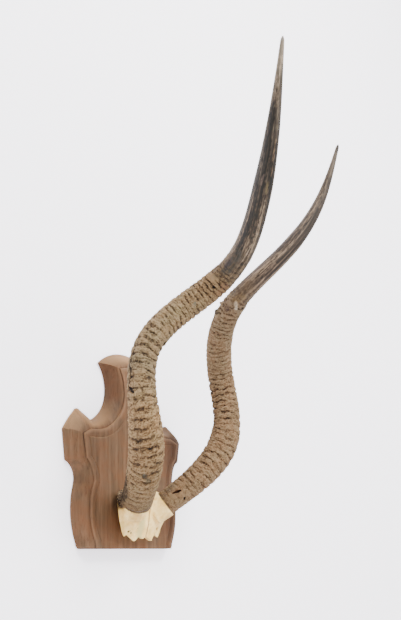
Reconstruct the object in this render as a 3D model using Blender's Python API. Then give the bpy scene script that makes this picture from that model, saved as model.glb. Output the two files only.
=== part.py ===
# A wall trophy: two lyre-shaped, ringed antelope horns on their piece of skull,
# fixed from behind to a carved wooden shield with a keyhole hanger let into its back.
#
# Frame: metres, +Z up. The wall is the plane Y = 0 and the front faces -Y, with +X to the
# right of someone who looks at the shield. The origin is on the shield's back face.
# Every piece is modelled with its height counted from the shield's foot, and hangs from an
# empty that puts the foot below the origin.

import math

import bmesh
import bpy
from mathutils import Euler, Matrix, Vector
from mathutils.geometry import interpolate_bezier

GAP = 0.0003                # clearance that touching pieces keep
FOOT_Z = -0.150             # the shield's foot, below the origin

# Shield: three outlines of its right half, from the foot up to the middle of the crown.
# Each stretch is (its end, a point that its arc passes or None for a straight, its steps).
EDGE_THICK = 0.003          # upright edge round the back face
BEAD_DEPTH = 0.0256         # back face to the bead, the thickest place
FIELD_DEPTH = 0.0250        # back face to the flat field
STEP = 0.0022               # the slope stops this far short of the bead
BEAD = [                    # share of the way from the slope to the field, depth below the bead
    (0.10, 0.0008), (0.35, 0.0), (0.75, 0.0001), (1.00, 0.0018), (1.10, BEAD_DEPTH - FIELD_DEPTH),
]
SLOPE_FULLNESS = 1.9        # 1 is a plain bevel, more is rounder
SLOPE_SHARES = (0.12, 0.28, 0.52, 1.0)
# The ear at +X was sawn with its lower corner higher and its point lower than the other one.
RIGHT_EAR_RISE = [(0.0, 0.0), (0.100, 0.0), (0.134, 0.011), (0.182, 0.0), (0.217, -0.009),
                  (0.320, -0.009)]
EAR_INNER_X, EAR_OUTER_X = 0.060, 0.095
OUTLINE_FOOT = (0.101, 0.0)
OUTLINE = [
    ((0.109, 0.008), (0.1067, 0.0023), 3),      # rounded foot corner
    ((0.1145, 0.098), (0.120, 0.056), 9),       # swelling of the lower side
    ((0.1325, 0.134), (0.118, 0.1225), 6),      # waist
    ((0.138, 0.182), None, 3),                  # side of the ear
    ((0.113, 0.2135), (0.1265, 0.1985), 4),     # ear, outer slope
    ((0.104, 0.2160), (0.109, 0.2170), 3),      # ear, rounded point
    ((0.078, 0.2015), None, 4),                 # ear, inner slope
    ((0.0425, 0.249), (0.0535, 0.220), 7),      # bite, lower half
    ((0.058, 0.298), (0.0450, 0.274), 7),       # bite, upper half
    ((0.0, 0.320), (0.031, 0.3145), 8),         # half of the crown
]
SLOPE_FOOT = (0.090, 0.0)
SLOPE_LINE = [                                  # where the carved slope meets the bead
    ((0.0905, 0.008), None, 3),
    ((0.093, 0.102), (0.102, 0.060), 9),
    ((0.109, 0.138), (0.0975, 0.122), 6),
    ((0.115, 0.1745), None, 3),
    ((0.1085, 0.1782), None, 4),
    ((0.1055, 0.1799), None, 3),
    ((0.096, 0.184), None, 4),
    ((0.0255, 0.224), (0.055, 0.1925), 7),
    ((0.031, 0.289), (0.0205, 0.257), 7),
    ((0.0, 0.2935), (0.016, 0.2925), 8),
]
FIELD_FOOT = (0.076, 0.0)
FIELD_LINE = [                                  # where the bead meets the flat field
    ((0.0765, 0.008), None, 3),
    ((0.080, 0.103), (0.090, 0.061), 9),
    ((0.0975, 0.1405), (0.0845, 0.1235), 6),
    ((0.1015, 0.1705), None, 3),
    ((0.0975, 0.1708), None, 4),
    ((0.0940, 0.1710), None, 3),
    ((0.0885, 0.1710), None, 4),
    ((0.0135, 0.214), (0.044, 0.1820), 7),
    ((0.0105, 0.279), (0.0055, 0.249), 7),
    ((0.0, 0.2800), (0.005, 0.2798), 8),
]

# Piece of skull: half width, and depth in front of the field at its middle and at its sides,
# by height above the shield's foot. Its lower edge was broken off along low points.
SKULL_BACK = FIELD_DEPTH + GAP
SKULL_HEIGHTS = (0.018, 0.033, 0.048, 0.062, 0.076, 0.088, 0.098)
SKULL_HALF_WIDTH = (0.0425, 0.0490, 0.0560, 0.0610, 0.0590, 0.0500, 0.0360)
SKULL_MID_DEPTH = (0.0190, 0.0270, 0.0305, 0.0320, 0.0290, 0.0220, 0.0120)
SKULL_SIDE_DEPTH = (0.0125, 0.0140, 0.0170, 0.0200, 0.0150, 0.0110, 0.0060)
SKULL_UNDERCUT = 1.15       # the sides run back inwards by this share of their depth
SKULL_ROWS = 9
SKULL_TOP_DROP = 0.010      # the upper edge runs down by this much at the sides
BROKEN_EDGE = [             # share of the half width, height of the edge
    (-1.0, 0.0190), (-0.96, 0.0160), (-0.86, 0.0185), (-0.52, 0.0125), (-0.28, 0.0170),
    (-0.07, 0.0150), (0.11, 0.0175), (0.38, 0.0130), (0.67, 0.0205), (0.90, 0.0165), (1.0, 0.0190),
]
PEDICLE_TOP_RADIUS = 0.0225
PEDICLE_FOOT_RADIUS = 0.0210
PEDICLE_LENGTH = 0.026
PEDICLE_SPARE = 0.002       # each stump is made this much too long, then cut back
SEAT_CUT_LENGTH = 0.050
SEAT_RADIUS = 0.0290        # bone is cut back this far round each horn's axis

# Horns: a smooth path through stations spaced evenly from base to tip, for the horn at -X.
HORN_PATH = [
    (-0.036, -0.059, 0.065), (-0.088, -0.129, 0.131), (-0.118, -0.151, 0.208),
    (-0.105, -0.154, 0.295), (-0.053, -0.201, 0.364), (-0.033, -0.271, 0.416),
    (-0.069, -0.342, 0.482), (-0.109, -0.399, 0.570), (-0.134, -0.439, 0.683),
]
HORN_RADIUS = [             # share of the length, radius, with straight runs between
    (0.0, 0.0233), (0.05, 0.0241), (0.11, 0.0260), (0.15, 0.0266), (0.19, 0.0260),
    (0.26, 0.0233), (0.32, 0.0227), (0.50, 0.0217), (0.55, 0.0206), (0.61, 0.0181),
    (0.66, 0.0169), (0.78, 0.0148), (0.87, 0.0104), (0.93, 0.0068), (0.97, 0.0044),
    (1.0, 0.0029),
]
HORN_POINT = 0.0025         # the blunt point, beyond the path's end
HORN_WIDE = [(0.0, 1.05), (0.35, 0.90), (0.70, 1.0), (1.0, 1.0)]    # oval, across WIDE_AXIS
HORN_DEEP = [(0.0, 0.97), (0.35, 1.10), (0.70, 1.0), (1.0, 1.0)]    # oval, the other way
WIDE_AXIS = Vector((-0.66, 0.71, 0.23))
HORN_SECTIONS_PER_SPAN = 7
HORN_SIDES = 20
SPLINE_PASSES = 30
LEFT_HORN_TRIM = 0.009      # the horn at -X starts this far up the path
RIGHT_HORN_SCALE = 0.886    # the horn at +X is the smaller one
RIGHT_HORN_TURN = Euler((math.radians(-2.6), math.radians(0.3), math.radians(0.3)))
RIGHT_HORN_SHIFT = Vector((0.0004, -0.0007, 0.0048))

# Fixings, all sunk in the shield's back.
SCREW_PLACES = [(-0.020, 0.042), (0.020, 0.042)]
SCREW_RADIUS = 0.0022
SCREW_HEAD_RADIUS = 0.0045
SCREW_HEAD_HEIGHT = 0.0030
SCREW_SINK = 0.0010         # head's face below the back face
SCREW_LENGTH = 0.0360
SCREW_HEAD_RIM = 0.0008     # straight rim of a head before it tapers
SCREW_POINT_LENGTH = 0.006
SCREW_POINT_RADIUS = 0.0004
BORE_END = 0.040            # past the shield's front
CUTTER_LEAD = 0.002         # cutters start this far behind the back face
POCKET_CORNER = 0.00001     # a flat pocket floor is drawn as a cone this deep
CUTTER_START = 0.0001       # cutters inside another pocket start this far in
HANGER_CENTRE_Z = 0.252
HANGER_WIDTH = 0.018
HANGER_HEIGHT = 0.046
HANGER_THICK = 0.0015
KEYHOLE_RADIUS = 0.0045
KEYHOLE_SLOT_RADIUS = 0.0022
KEYHOLE_TRAVEL = 0.011
NAIL_POCKET_WIDTH = 0.012
NAIL_POCKET_HEIGHT = 0.026
NAIL_POCKET_DEPTH = 0.008
PLATE_SCREW_OFFSET = 0.0185
PLATE_SCREW_RADIUS = 0.0014
PLATE_SCREW_HEAD_RADIUS = 0.0028
PLATE_SCREW_LENGTH = 0.012
PLATE_SCREW_POINT_LENGTH = 0.003
PLATE_SCREW_POINT_RADIUS = 0.0003
PLATE_SINK_PLAY = 0.0008    # the sinks in the plate are this much wider than the heads
PLATE_CUT_LEAD = 0.001
PLATE_CUT_END = 0.004
PLATE_SINK_LEAD = 0.0004
ROUND_SIDES = 20


def clear_scene():
    for obj in list(bpy.data.objects):
        bpy.data.objects.remove(obj, do_unlink=True)


def material(name, colour, roughness, metallic=0.0):
    made = bpy.data.materials.new(name)
    made.use_nodes = True
    shader = made.node_tree.nodes["Principled BSDF"]
    shader.inputs["Base Color"].default_value = (*colour, 1.0)
    shader.inputs["Roughness"].default_value = roughness
    shader.inputs["Metallic"].default_value = metallic
    return made


def add_piece(name, bm, finish, parent, smooth_below=None):
    """Turn a bmesh into a named object that hangs from the parent empty."""
    mesh = bpy.data.meshes.new(name)
    bmesh.ops.recalc_face_normals(bm, faces=bm.faces)
    bm.to_mesh(mesh)
    bm.free()
    mesh.materials.append(finish)
    if smooth_below:
        mesh.shade_smooth()
        mesh.set_sharp_from_angle(angle=math.radians(smooth_below))
    obj = bpy.data.objects.new(name, mesh)
    bpy.context.scene.collection.objects.link(obj)
    obj.parent = parent
    return obj


def loft(bm, loops, flat_seam=False):
    """Skin closed loops of equally many points, and cap the first and the last.

    With a flat seam, the stretches from each loop's last point to its first lie in one plane
    and become one face there.
    """
    rings = [[bm.verts.new(point) for point in loop] for loop in loops]
    for low, high in zip(rings, rings[1:]):
        for i in range(len(low) - flat_seam):
            j = (i + 1) % len(low)
            bm.faces.new((low[i], low[j], high[j], high[i]))
    if flat_seam:
        bm.faces.new([ring[0] for ring in reversed(rings)] + [ring[-1] for ring in rings])
    bm.faces.new(list(reversed(rings[0])))
    bm.faces.new(rings[-1])


def blend(table, at):
    """Value at a place in a list of (place, value), with no corner at the listed places."""
    for (a, low), (b, high) in zip(table, table[1:]):
        if at <= b:
            share = (at - a) / (b - a)
            return low + (high - low) * share * share * (3 - 2 * share)
    return table[-1][1]


def straight(table, at):
    for (a, low), (b, high) in zip(table, table[1:]):
        if at <= b:
            return low + (high - low) * (at - a) / (b - a)
    return table[-1][1]


def cut(obj, cutters):
    """Take closed shapes out of a piece. A cutter is hidden, and isn't a piece."""
    for cutter in cutters:
        modifier = obj.modifiers.new(cutter.name, "BOOLEAN")
        modifier.operation = "DIFFERENCE"
        modifier.object = cutter
        modifier.solver = "EXACT"


def helper(name, bm, parent):
    obj = add_piece(name, bm, bpy.data.materials["cutter"], parent)
    obj.hide_render = True
    obj.display_type = "WIRE"
    return obj


def turned_along_y(profile, x, z, sides=ROUND_SIDES):
    """A closed solid turned about a line along Y, from (distance from the wall, radius) pairs."""
    bm = bmesh.new()
    angles = [2 * math.pi * i / sides for i in range(sides)]
    loft(bm, [[(x + r * math.cos(a), -y, z + r * math.sin(a)) for a in angles]
              for y, r in profile])
    return bm


# ---- shield -------------------------------------------------------------------

def arc(start, via, end, steps):
    """Points after start up to end on the circle through three points."""
    a, b, c = Vector(start), Vector(via), Vector(end)
    ab, ac = b - a, c - a
    cross = 2 * (ab.x * ac.y - ab.y * ac.x)
    centre = a + Vector((ac.y * ab.length_squared - ab.y * ac.length_squared,
                         ab.x * ac.length_squared - ac.x * ab.length_squared)) / cross
    radius = a - centre
    sweep = radius.angle_signed(c - centre)
    if sweep * radius.angle_signed(b - centre) < 0:
        sweep -= math.copysign(2 * math.pi, sweep)
    points = []
    for i in range(1, steps + 1):
        turned = radius.copy()
        turned.rotate(Matrix.Rotation(-sweep * i / steps, 2))
        points.append(centre + turned)
    return points


def half_outline(foot, stretches):
    points = [Vector(foot)]
    for end, via, steps in stretches:
        start = points[-1]
        if via:
            points += arc(start, via, end, steps)
        else:
            points += [start.lerp(Vector(end), i / steps) for i in range(1, steps + 1)]
    return points


def shield_level(first, second, share, depth):
    """The whole outline between two half outlines, at a distance from the wall."""
    half = [a.lerp(b, share) for a, b in zip(first, second)]
    right = [(p.x, -depth, p.y + right_ear_rise(p)) for p in half]
    left = [(-p.x, -depth, p.y) for p in reversed(half[:-1])]
    return right + left


def right_ear_rise(point):
    reach = min(1.0, max(0.0, (point.x - EAR_INNER_X) / (EAR_OUTER_X - EAR_INNER_X)))
    return reach * blend(RIGHT_EAR_RISE, point.y)


def build_shield(parent, finish):
    edge = half_outline(OUTLINE_FOOT, OUTLINE)
    slope = half_outline(SLOPE_FOOT, SLOPE_LINE)
    field = half_outline(FIELD_FOOT, FIELD_LINE)
    slope_top = BEAD_DEPTH - STEP
    levels = [shield_level(edge, slope, 0.0, 0.0), shield_level(edge, slope, 0.0, EDGE_THICK)]
    for share in SLOPE_SHARES:
        depth = EDGE_THICK + (slope_top - EDGE_THICK) * (1 - (1 - share) ** SLOPE_FULLNESS)
        levels.append(shield_level(edge, slope, share, depth))
    levels += [shield_level(slope, field, share, BEAD_DEPTH - drop) for share, drop in BEAD]
    bm = bmesh.new()
    loft(bm, levels, flat_seam=True)
    shield = add_piece("shield_board", bm, finish, parent, smooth_below=35)
    head, shank = SCREW_HEAD_RADIUS + 2 * GAP, SCREW_RADIUS + GAP
    floor = SCREW_SINK + SCREW_HEAD_HEIGHT + GAP
    cutters = [helper(f"cut_screw_{i}", turned_along_y(
        [(-CUTTER_LEAD, head), (floor, head), (floor + POCKET_CORNER, shank),
         (BORE_END, shank)], x, z), parent) for i, (x, z) in enumerate(SCREW_PLACES)]
    cutters += hanger_pocket(parent)
    cut(shield, cutters)
    return shield


# ---- piece of skull -------------------------------------------------------------

def skull_value(values, z):
    return blend(list(zip(SKULL_HEIGHTS, values)), z)


def build_skull(parent, finish):
    shares = sorted({share for share, _ in BROKEN_EDGE} | {i / 7 for i in range(-7, 8)})
    top = SKULL_HEIGHTS[-1]
    bm = bmesh.new()
    front, back = [], []
    for share in shares:
        low = straight(BROKEN_EDGE, share)
        front_column, back_column = [], []
        for row in range(SKULL_ROWS + 1):
            up = row / SKULL_ROWS
            z = low + (top - SKULL_TOP_DROP * share * share - low) * up
            x = share * skull_value(SKULL_HALF_WIDTH, z)
            mid = skull_value(SKULL_MID_DEPTH, z)
            side = skull_value(SKULL_SIDE_DEPTH, z)
            depth = FIELD_DEPTH + side + (mid - side) * (1 - share * share)
            front_column.append(bm.verts.new((x, -depth, z)))
            back_x = x - share * side * SKULL_UNDERCUT
            back_column.append(bm.verts.new((back_x, -SKULL_BACK, z)))
        front.append(front_column)
        back.append(back_column)
    last, columns = SKULL_ROWS, len(shares)
    for i in range(columns - 1):
        for j in range(last):
            bm.faces.new((front[i][j], front[i + 1][j], front[i + 1][j + 1], front[i][j + 1]))
            bm.faces.new((back[i][j + 1], back[i + 1][j + 1], back[i + 1][j], back[i][j]))
        bm.faces.new((back[i][0], back[i + 1][0], front[i + 1][0], front[i][0]))
        bm.faces.new((front[i][last], front[i + 1][last], back[i + 1][last], back[i][last]))
    for i, step in ((0, 1), (columns - 1, -1)):
        for j in range(last):
            corners = (front[i][j], front[i][j + 1], back[i][j + 1], back[i][j])
            bm.faces.new(corners[::step])
    skull = add_piece("skull_plate", bm, finish, parent, smooth_below=40)

    cutters = []
    for label, base, heading in horn_seats():
        stub = helper(f"pedicle_{label}", cone_between(
            base - heading * PEDICLE_LENGTH, PEDICLE_FOOT_RADIUS,
            base + heading * PEDICLE_SPARE, PEDICLE_TOP_RADIUS), parent)
        union = skull.modifiers.new(stub.name, "BOOLEAN")
        union.operation = "UNION"
        union.object = stub
        union.solver = "EXACT"
        cutters.append(helper(f"cut_seat_{label}", cone_between(
            base - heading * GAP, SEAT_RADIUS,
            base + heading * SEAT_CUT_LENGTH, SEAT_RADIUS), parent))
    cutters += [helper(f"cut_pilot_{i}", turned_along_y(
        [(0.0, SCREW_RADIUS + GAP), (SCREW_SINK + SCREW_LENGTH + GAP, SCREW_RADIUS + GAP)],
        x, z), parent) for i, (x, z) in enumerate(SCREW_PLACES)]
    cut(skull, cutters)
    return skull


def cone_between(foot, foot_radius, top, top_radius):
    axis = (top - foot).normalized()
    across = axis.orthogonal().normalized()
    other = axis.cross(across)
    loops = []
    for centre, radius in ((foot, foot_radius), (top, top_radius)):
        loop = []
        for i in range(ROUND_SIDES):
            angle = 2 * math.pi * i / ROUND_SIDES
            loop.append(centre + (across * math.cos(angle) + other * math.sin(angle)) * radius)
        loops.append(loop)
    bm = bmesh.new()
    loft(bm, loops)
    return bm


# ---- horns ------------------------------------------------------------------------

def horn_frames():
    """Centre, heading and the section's two axes from base to tip, carried without twist."""
    stations = [Vector(p) for p in HORN_PATH]
    last = len(stations) - 1
    pull = [Vector((0, 0, 0)) for _ in stations]
    for _ in range(SPLINE_PASSES):          # each pass evens out the bend across the stations
        pull[0] = (3 * (stations[1] - stations[0]) - pull[1]) / 2
        for i in range(1, last):
            pull[i] = (3 * (stations[i + 1] - stations[i - 1]) - pull[i - 1] - pull[i + 1]) / 4
        pull[last] = (3 * (stations[last] - stations[last - 1]) - pull[last - 1]) / 2
    centres = [stations[0]]
    for i in range(last):
        centres += interpolate_bezier(stations[i], stations[i] + pull[i] / 3,
                                      stations[i + 1] - pull[i + 1] / 3, stations[i + 1],
                                      HORN_SECTIONS_PER_SPAN + 1)[1:]
    frames = []
    wide = WIDE_AXIS
    for i, centre in enumerate(centres):
        ahead = centres[min(i + 1, len(centres) - 1)] - centres[max(i - 1, 0)]
        heading = ahead.normalized()
        wide = (wide - heading * wide.dot(heading)).normalized()
        frames.append((centre, heading, wide, heading.cross(wide)))
    return frames


def to_right(point):
    """Where a point of the horn at -X lies on the horn at +X, the smaller and leaning one."""
    base = Vector(HORN_PATH[0])
    flip = Matrix.Diagonal((-1, 1, 1))
    turn = RIGHT_HORN_TURN.to_matrix()
    return flip @ base + RIGHT_HORN_SHIFT + RIGHT_HORN_SCALE * (turn @ (flip @ (point - base)))


def horn_seats():
    """Side, centre and heading of each horn's base."""
    base, heading = horn_frames()[0][:2]
    right_base = to_right(base)
    right_heading = (to_right(base + heading) - right_base).normalized()
    return [("left", base + heading * LEFT_HORN_TRIM, heading),
            ("right", right_base, right_heading)]


def build_horn(name, parent, finish, right=False):
    frames = horn_frames()
    loops = []
    for i, (centre, _, wide, deep) in enumerate(frames):
        share = i / (len(frames) - 1)
        radius = straight(HORN_RADIUS, share)
        a, b = radius * blend(HORN_WIDE, share), radius * blend(HORN_DEEP, share)
        loops.append([centre + wide * a * math.cos(t) + deep * b * math.sin(t)
                      for t in (2 * math.pi * k / HORN_SIDES for k in range(HORN_SIDES))])
    tip = frames[-1][0] + frames[-1][1] * HORN_POINT
    loops.append([tip.lerp(p, 0.5) for p in loops[-1]])
    if right:
        loops = [[to_right(p) for p in loop] for loop in loops]
    else:
        trim = frames[0][1] * LEFT_HORN_TRIM
        loops[0] = [p + trim for p in loops[0]]
    bm = bmesh.new()
    loft(bm, loops)
    return add_piece(name, bm, finish, parent, smooth_below=50)


# ---- fixings ----------------------------------------------------------------------

def plate_outline(width, height):
    """Round-ended upright outline about the hanger's centre, as (x, z) pairs."""
    radius = width / 2
    points = []
    for end, start in ((height / 2 - radius, 0.0), (radius - height / 2, math.pi)):
        points += [(radius * math.cos(start + math.pi * i / 10),
                    end + radius * math.sin(start + math.pi * i / 10)) for i in range(11)]
    return points


def keyhole_outline():
    """Round hole below, narrow slot above, as (x, z) pairs about the hanger's centre."""
    low, high = -KEYHOLE_TRAVEL / 2, KEYHOLE_TRAVEL / 2
    open_angle = math.asin(KEYHOLE_SLOT_RADIUS / KEYHOLE_RADIUS)
    start, sweep = math.pi / 2 + open_angle, 2 * (math.pi - open_angle)
    hole = [(KEYHOLE_RADIUS * math.cos(start + sweep * i / 18),
             low + KEYHOLE_RADIUS * math.sin(start + sweep * i / 18)) for i in range(19)]
    slot = [(KEYHOLE_SLOT_RADIUS * math.cos(math.pi * i / 8),
             high + KEYHOLE_SLOT_RADIUS * math.sin(math.pi * i / 8)) for i in range(9)]
    return hole + slot


def prism(outline, near, far):
    """An upright outline about the hanger's centre, made solid between two distances."""
    bm = bmesh.new()
    loft(bm, [[(x, -y, HANGER_CENTRE_Z + z) for x, z in outline] for y in (near, far)])
    return bm


def hanger_pocket(parent):
    """What is cut from the shield's back for the hanger, the nail behind it and its screws."""
    recess = plate_outline(HANGER_WIDTH + 2 * GAP, HANGER_HEIGHT + 2 * GAP)
    nail = plate_outline(NAIL_POCKET_WIDTH, NAIL_POCKET_HEIGHT)
    cutters = [helper("cut_hanger_recess",
                      prism(recess, -CUTTER_LEAD, HANGER_THICK + 2 * GAP), parent),
               helper("cut_nail_pocket", prism(nail, CUTTER_START, NAIL_POCKET_DEPTH), parent)]
    for i, side in enumerate((-1, 1)):
        z = HANGER_CENTRE_Z + side * PLATE_SCREW_OFFSET
        hole = [(CUTTER_START, PLATE_SCREW_RADIUS + GAP),
                (PLATE_SCREW_LENGTH + 2 * GAP, PLATE_SCREW_RADIUS + GAP)]
        cutters.append(helper(f"cut_plate_pilot_{i}", turned_along_y(hole, 0.0, z, 12), parent))
    return cutters


def build_hanger(parent, finish):
    near = GAP
    hanger = add_piece("keyhole_hanger", prism(plate_outline(HANGER_WIDTH, HANGER_HEIGHT), near,
                                               near + HANGER_THICK), finish, parent)
    cutters = [helper("cut_keyhole", prism(keyhole_outline(), -PLATE_CUT_LEAD,
                                            PLATE_CUT_END), parent)]
    for i, side in enumerate((-1, 1)):
        z = HANGER_CENTRE_Z + side * PLATE_SCREW_OFFSET
        sink = [(near - PLATE_SINK_LEAD, PLATE_SCREW_HEAD_RADIUS + PLATE_SINK_PLAY),
                (near + HANGER_THICK + PLATE_SINK_LEAD, PLATE_SCREW_RADIUS + GAP)]
        cutters.append(helper(f"cut_plate_sink_{i}", turned_along_y(sink, 0.0, z), parent))
    cut(hanger, cutters)


def build_screws(parent, finish):
    for i, (x, z) in enumerate(SCREW_PLACES):
        start, head = SCREW_SINK, SCREW_SINK + SCREW_HEAD_HEIGHT
        end = SCREW_SINK + SCREW_LENGTH
        profile = [(start, SCREW_HEAD_RADIUS), (start + SCREW_HEAD_RIM, SCREW_HEAD_RADIUS),
                   (head, SCREW_RADIUS), (end - SCREW_POINT_LENGTH, SCREW_RADIUS),
                   (end, SCREW_POINT_RADIUS)]
        add_piece(f"skull_screw_{'lr'[i]}", turned_along_y(profile, x, z, 16), finish, parent, 40)
    for i, side in enumerate((-1, 1)):
        z = HANGER_CENTRE_Z + side * PLATE_SCREW_OFFSET
        start = GAP + CUTTER_START
        profile = [(start, PLATE_SCREW_HEAD_RADIUS), (start + HANGER_THICK, PLATE_SCREW_RADIUS),
                   (PLATE_SCREW_LENGTH - PLATE_SCREW_POINT_LENGTH, PLATE_SCREW_RADIUS),
                   (PLATE_SCREW_LENGTH, PLATE_SCREW_POINT_RADIUS)]
        name = f"hanger_screw_{('low', 'high')[i]}"
        add_piece(name, turned_along_y(profile, 0.0, z, 12), finish, parent, 40)


def main():
    clear_scene()
    trophy = bpy.data.objects.new("trophy", None)
    bpy.context.scene.collection.objects.link(trophy)
    trophy.location = (0, 0, FOOT_Z)
    material("cutter", (0.5, 0.5, 0.5), 0.5)
    build_shield(trophy, material("stained_wood", (0.27, 0.15, 0.10), 0.55))
    build_skull(trophy, material("dry_bone", (0.82, 0.72, 0.52), 0.6))
    build_horn("horn_left", trophy, material("horn_tan", (0.34, 0.25, 0.16), 0.65))
    build_horn("horn_right", trophy, material("horn_brown", (0.31, 0.21, 0.13), 0.65), True)
    build_hanger(trophy, material("zinc_plate", (0.62, 0.60, 0.55), 0.4, 1.0))
    build_screws(trophy, material("screw_steel", (0.55, 0.54, 0.50), 0.35, 1.0))


main()
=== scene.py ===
# Looks of the mounted antelope horns: two ringed, weathered horns on their broken piece of
# skull, screwed from behind to a carved and stained wooden shield that hangs on a wall.
#
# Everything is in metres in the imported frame: the shield's back is on Y = 0, the front faces
# -Y, and +Z is up. Heights of the horns and the shield are counted from the shield's foot, at
# FOOT_Z, and those of the bone are the frame's own Z.

import math

import bmesh
import bpy
import numpy as np
from mathutils import Euler, Matrix, Vector, noise


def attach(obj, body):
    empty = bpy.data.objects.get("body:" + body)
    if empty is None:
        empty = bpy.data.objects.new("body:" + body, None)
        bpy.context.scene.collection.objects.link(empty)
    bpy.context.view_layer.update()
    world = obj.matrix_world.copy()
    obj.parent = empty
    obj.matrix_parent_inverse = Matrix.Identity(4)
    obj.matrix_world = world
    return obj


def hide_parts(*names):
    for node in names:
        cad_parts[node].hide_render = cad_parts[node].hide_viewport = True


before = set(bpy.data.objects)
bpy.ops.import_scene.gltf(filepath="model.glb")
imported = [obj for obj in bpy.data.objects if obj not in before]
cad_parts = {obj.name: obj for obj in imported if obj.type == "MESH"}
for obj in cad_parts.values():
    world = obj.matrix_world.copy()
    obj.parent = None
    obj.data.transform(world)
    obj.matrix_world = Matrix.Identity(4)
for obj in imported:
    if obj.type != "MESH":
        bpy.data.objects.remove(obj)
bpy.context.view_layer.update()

MM = 0.001
FOOT_Z = -0.150             # the shield's foot, below the origin
LIFT = Vector((0, 0, FOOT_Z))
CARVING_SEED = 7            # fixes how the carved lines stray
noise.seed_set(CARVING_SEED)

# Camera, low and to the left of the trophy, looking up and along the wall.
CAMERA_PLACE = Vector((-1.1395, -1.0542, -0.1824))
CAMERA_YAW, CAMERA_PITCH, CAMERA_ROLL = math.radians(-50.5), math.radians(14.4), math.radians(-1.59)
CAMERA_LENS = 54.41
CAMERA_SHIFT = (0.0448, 0.0287)

# Horns: a smooth path through evenly spaced stations, for the horn at -X.
HORN_PATH = [
    (-0.036, -0.059, 0.065), (-0.088, -0.129, 0.131), (-0.118, -0.151, 0.208),
    (-0.105, -0.154, 0.295), (-0.053, -0.201, 0.364), (-0.033, -0.271, 0.416),
    (-0.069, -0.342, 0.482), (-0.109, -0.399, 0.570), (-0.134, -0.439, 0.683),
]
HORN_RADIUS = [             # share of the length, radius, with straight runs between
    (0.0, 0.0233), (0.05, 0.0241), (0.11, 0.0260), (0.15, 0.0266), (0.19, 0.0260),
    (0.26, 0.0233), (0.32, 0.0227), (0.50, 0.0217), (0.55, 0.0206), (0.61, 0.0181),
    (0.66, 0.0169), (0.78, 0.0148), (0.87, 0.0104), (0.93, 0.0068), (0.97, 0.0044),
    (1.0, 0.0029),
]
HORN_WIDE = [(0.0, 1.05), (0.35, 0.90), (0.70, 1.0), (1.0, 1.0)]
HORN_DEEP = [(0.0, 0.97), (0.35, 1.10), (0.70, 1.0), (1.0, 1.0)]
WIDE_AXIS = Vector((-0.66, 0.71, 0.23))
LEFT_HORN_TRIM = 0.009      # the horn at -X starts this far up the path
RIGHT_HORN_SCALE = 0.886    # the horn at +X is the smaller one
RIGHT_HORN_TURN = Euler((math.radians(-2.6), math.radians(0.3), math.radians(0.3)))
RIGHT_HORN_SHIFT = Vector((0.0004, -0.0007, 0.0048))
RINGED_SHARE = 0.585        # rings cover this share of the length, the rest is smooth
RING_SPACING = [(0.0, 0.0105), (0.12, 0.0135), (0.35, 0.0120), (0.50, 0.0085), (1.0, 0.0070)]
# How deeply pitted each horn is, by share of the length.
NEAR_BARK = [(0.0, 0.3), (0.06, 0.5), (0.12, 1.0), (0.26, 1.0), (0.31, 0.40), (0.42, 0.30),
             (0.48, 0.70), (0.58, 0.8), (1.0, 0.8)]
FAR_BARK = [(0.0, 0.3), (0.08, 0.4), (0.20, 0.6), (0.32, 0.7), (0.45, 0.4), (1.0, 0.5)]
HORN_SIDES = 144
RINGED_ROW, SMOOTH_ROW = 1.0 * MM, 2.4 * MM
RINGED_ROWS_END = RINGED_SHARE + 0.03           # the fine rows run on past the rings
FINE_STEPS = 200            # steps per span when the path's length is measured
TIP_ROUNDING = 2.5 * MM     # how far the rounded point reaches past the last row
MARK_FULL, MARK_END = 0.3, 1.6      # a mark fades between these shares of its half width


# ---- helpers ----------------------------------------------------------------------

def linear(hex_colour):
    """An sRGB hex colour as the linear colour that a shader takes."""
    parts = [int(hex_colour[i:i + 2], 16) / 255 for i in (1, 3, 5)]
    return (*(p / 12.92 if p <= 0.04045 else ((p + 0.055) / 1.055) ** 2.4 for p in parts), 1.0)


def add(tree, kind, settings=None, inputs=None, stops=None):
    """Add one node, with its settings, its input values or links, and a ramp's stops."""
    node = tree.nodes.new(kind)
    for name, value in (settings or {}).items():
        setattr(node, name, value)
    for name, value in (inputs or {}).items():
        if isinstance(value, bpy.types.Node):
            value = value.outputs[0]
        if isinstance(value, bpy.types.NodeSocket):
            tree.links.new(value, node.inputs[name])
        else:
            node.inputs[name].default_value = value
    if stops:
        points = node.color_ramp.elements
        while len(points) < len(stops):
            points.new(1.0)
        for point, (place, colour) in zip(points, stops):
            point.position, point.color = place, linear(colour)
    return node


def new_material(name, shader_values):
    """A material with an empty tree but for its shader, and the shader's constant values."""
    made = bpy.data.materials.new(name)
    made.use_nodes = True
    shader = made.node_tree.nodes["Principled BSDF"]
    for socket, value in shader_values.items():
        shader.inputs[socket].default_value = value
    return made, made.node_tree, shader


def table_curve(table, at):
    """Values of a (place, value) table, with no corner at the listed places."""
    places, values = np.array(table).T
    i = np.clip(np.searchsorted(places, at, side="left"), 1, len(places) - 1)
    share = np.clip((at - places[i - 1]) / (places[i] - places[i - 1]), 0, 1)
    return values[i - 1] + (values[i] - values[i - 1]) * share * share * (3 - 2 * share)


def smooth_step(x):
    x = np.clip(x, 0, 1)
    return x * x * (3 - 2 * x)


def mesh_object(name, verts, faces, material, sharp_angle=None):
    mesh = bpy.data.meshes.new(name)
    mesh.from_pydata([tuple(v) for v in verts], [], faces)
    mesh.validate()
    mesh.materials.append(material)
    mesh.shade_smooth()
    if sharp_angle:
        mesh.set_sharp_from_angle(angle=math.radians(sharp_angle))
    obj = bpy.data.objects.new(name, mesh)
    bpy.context.scene.collection.objects.link(obj)
    return obj


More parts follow.
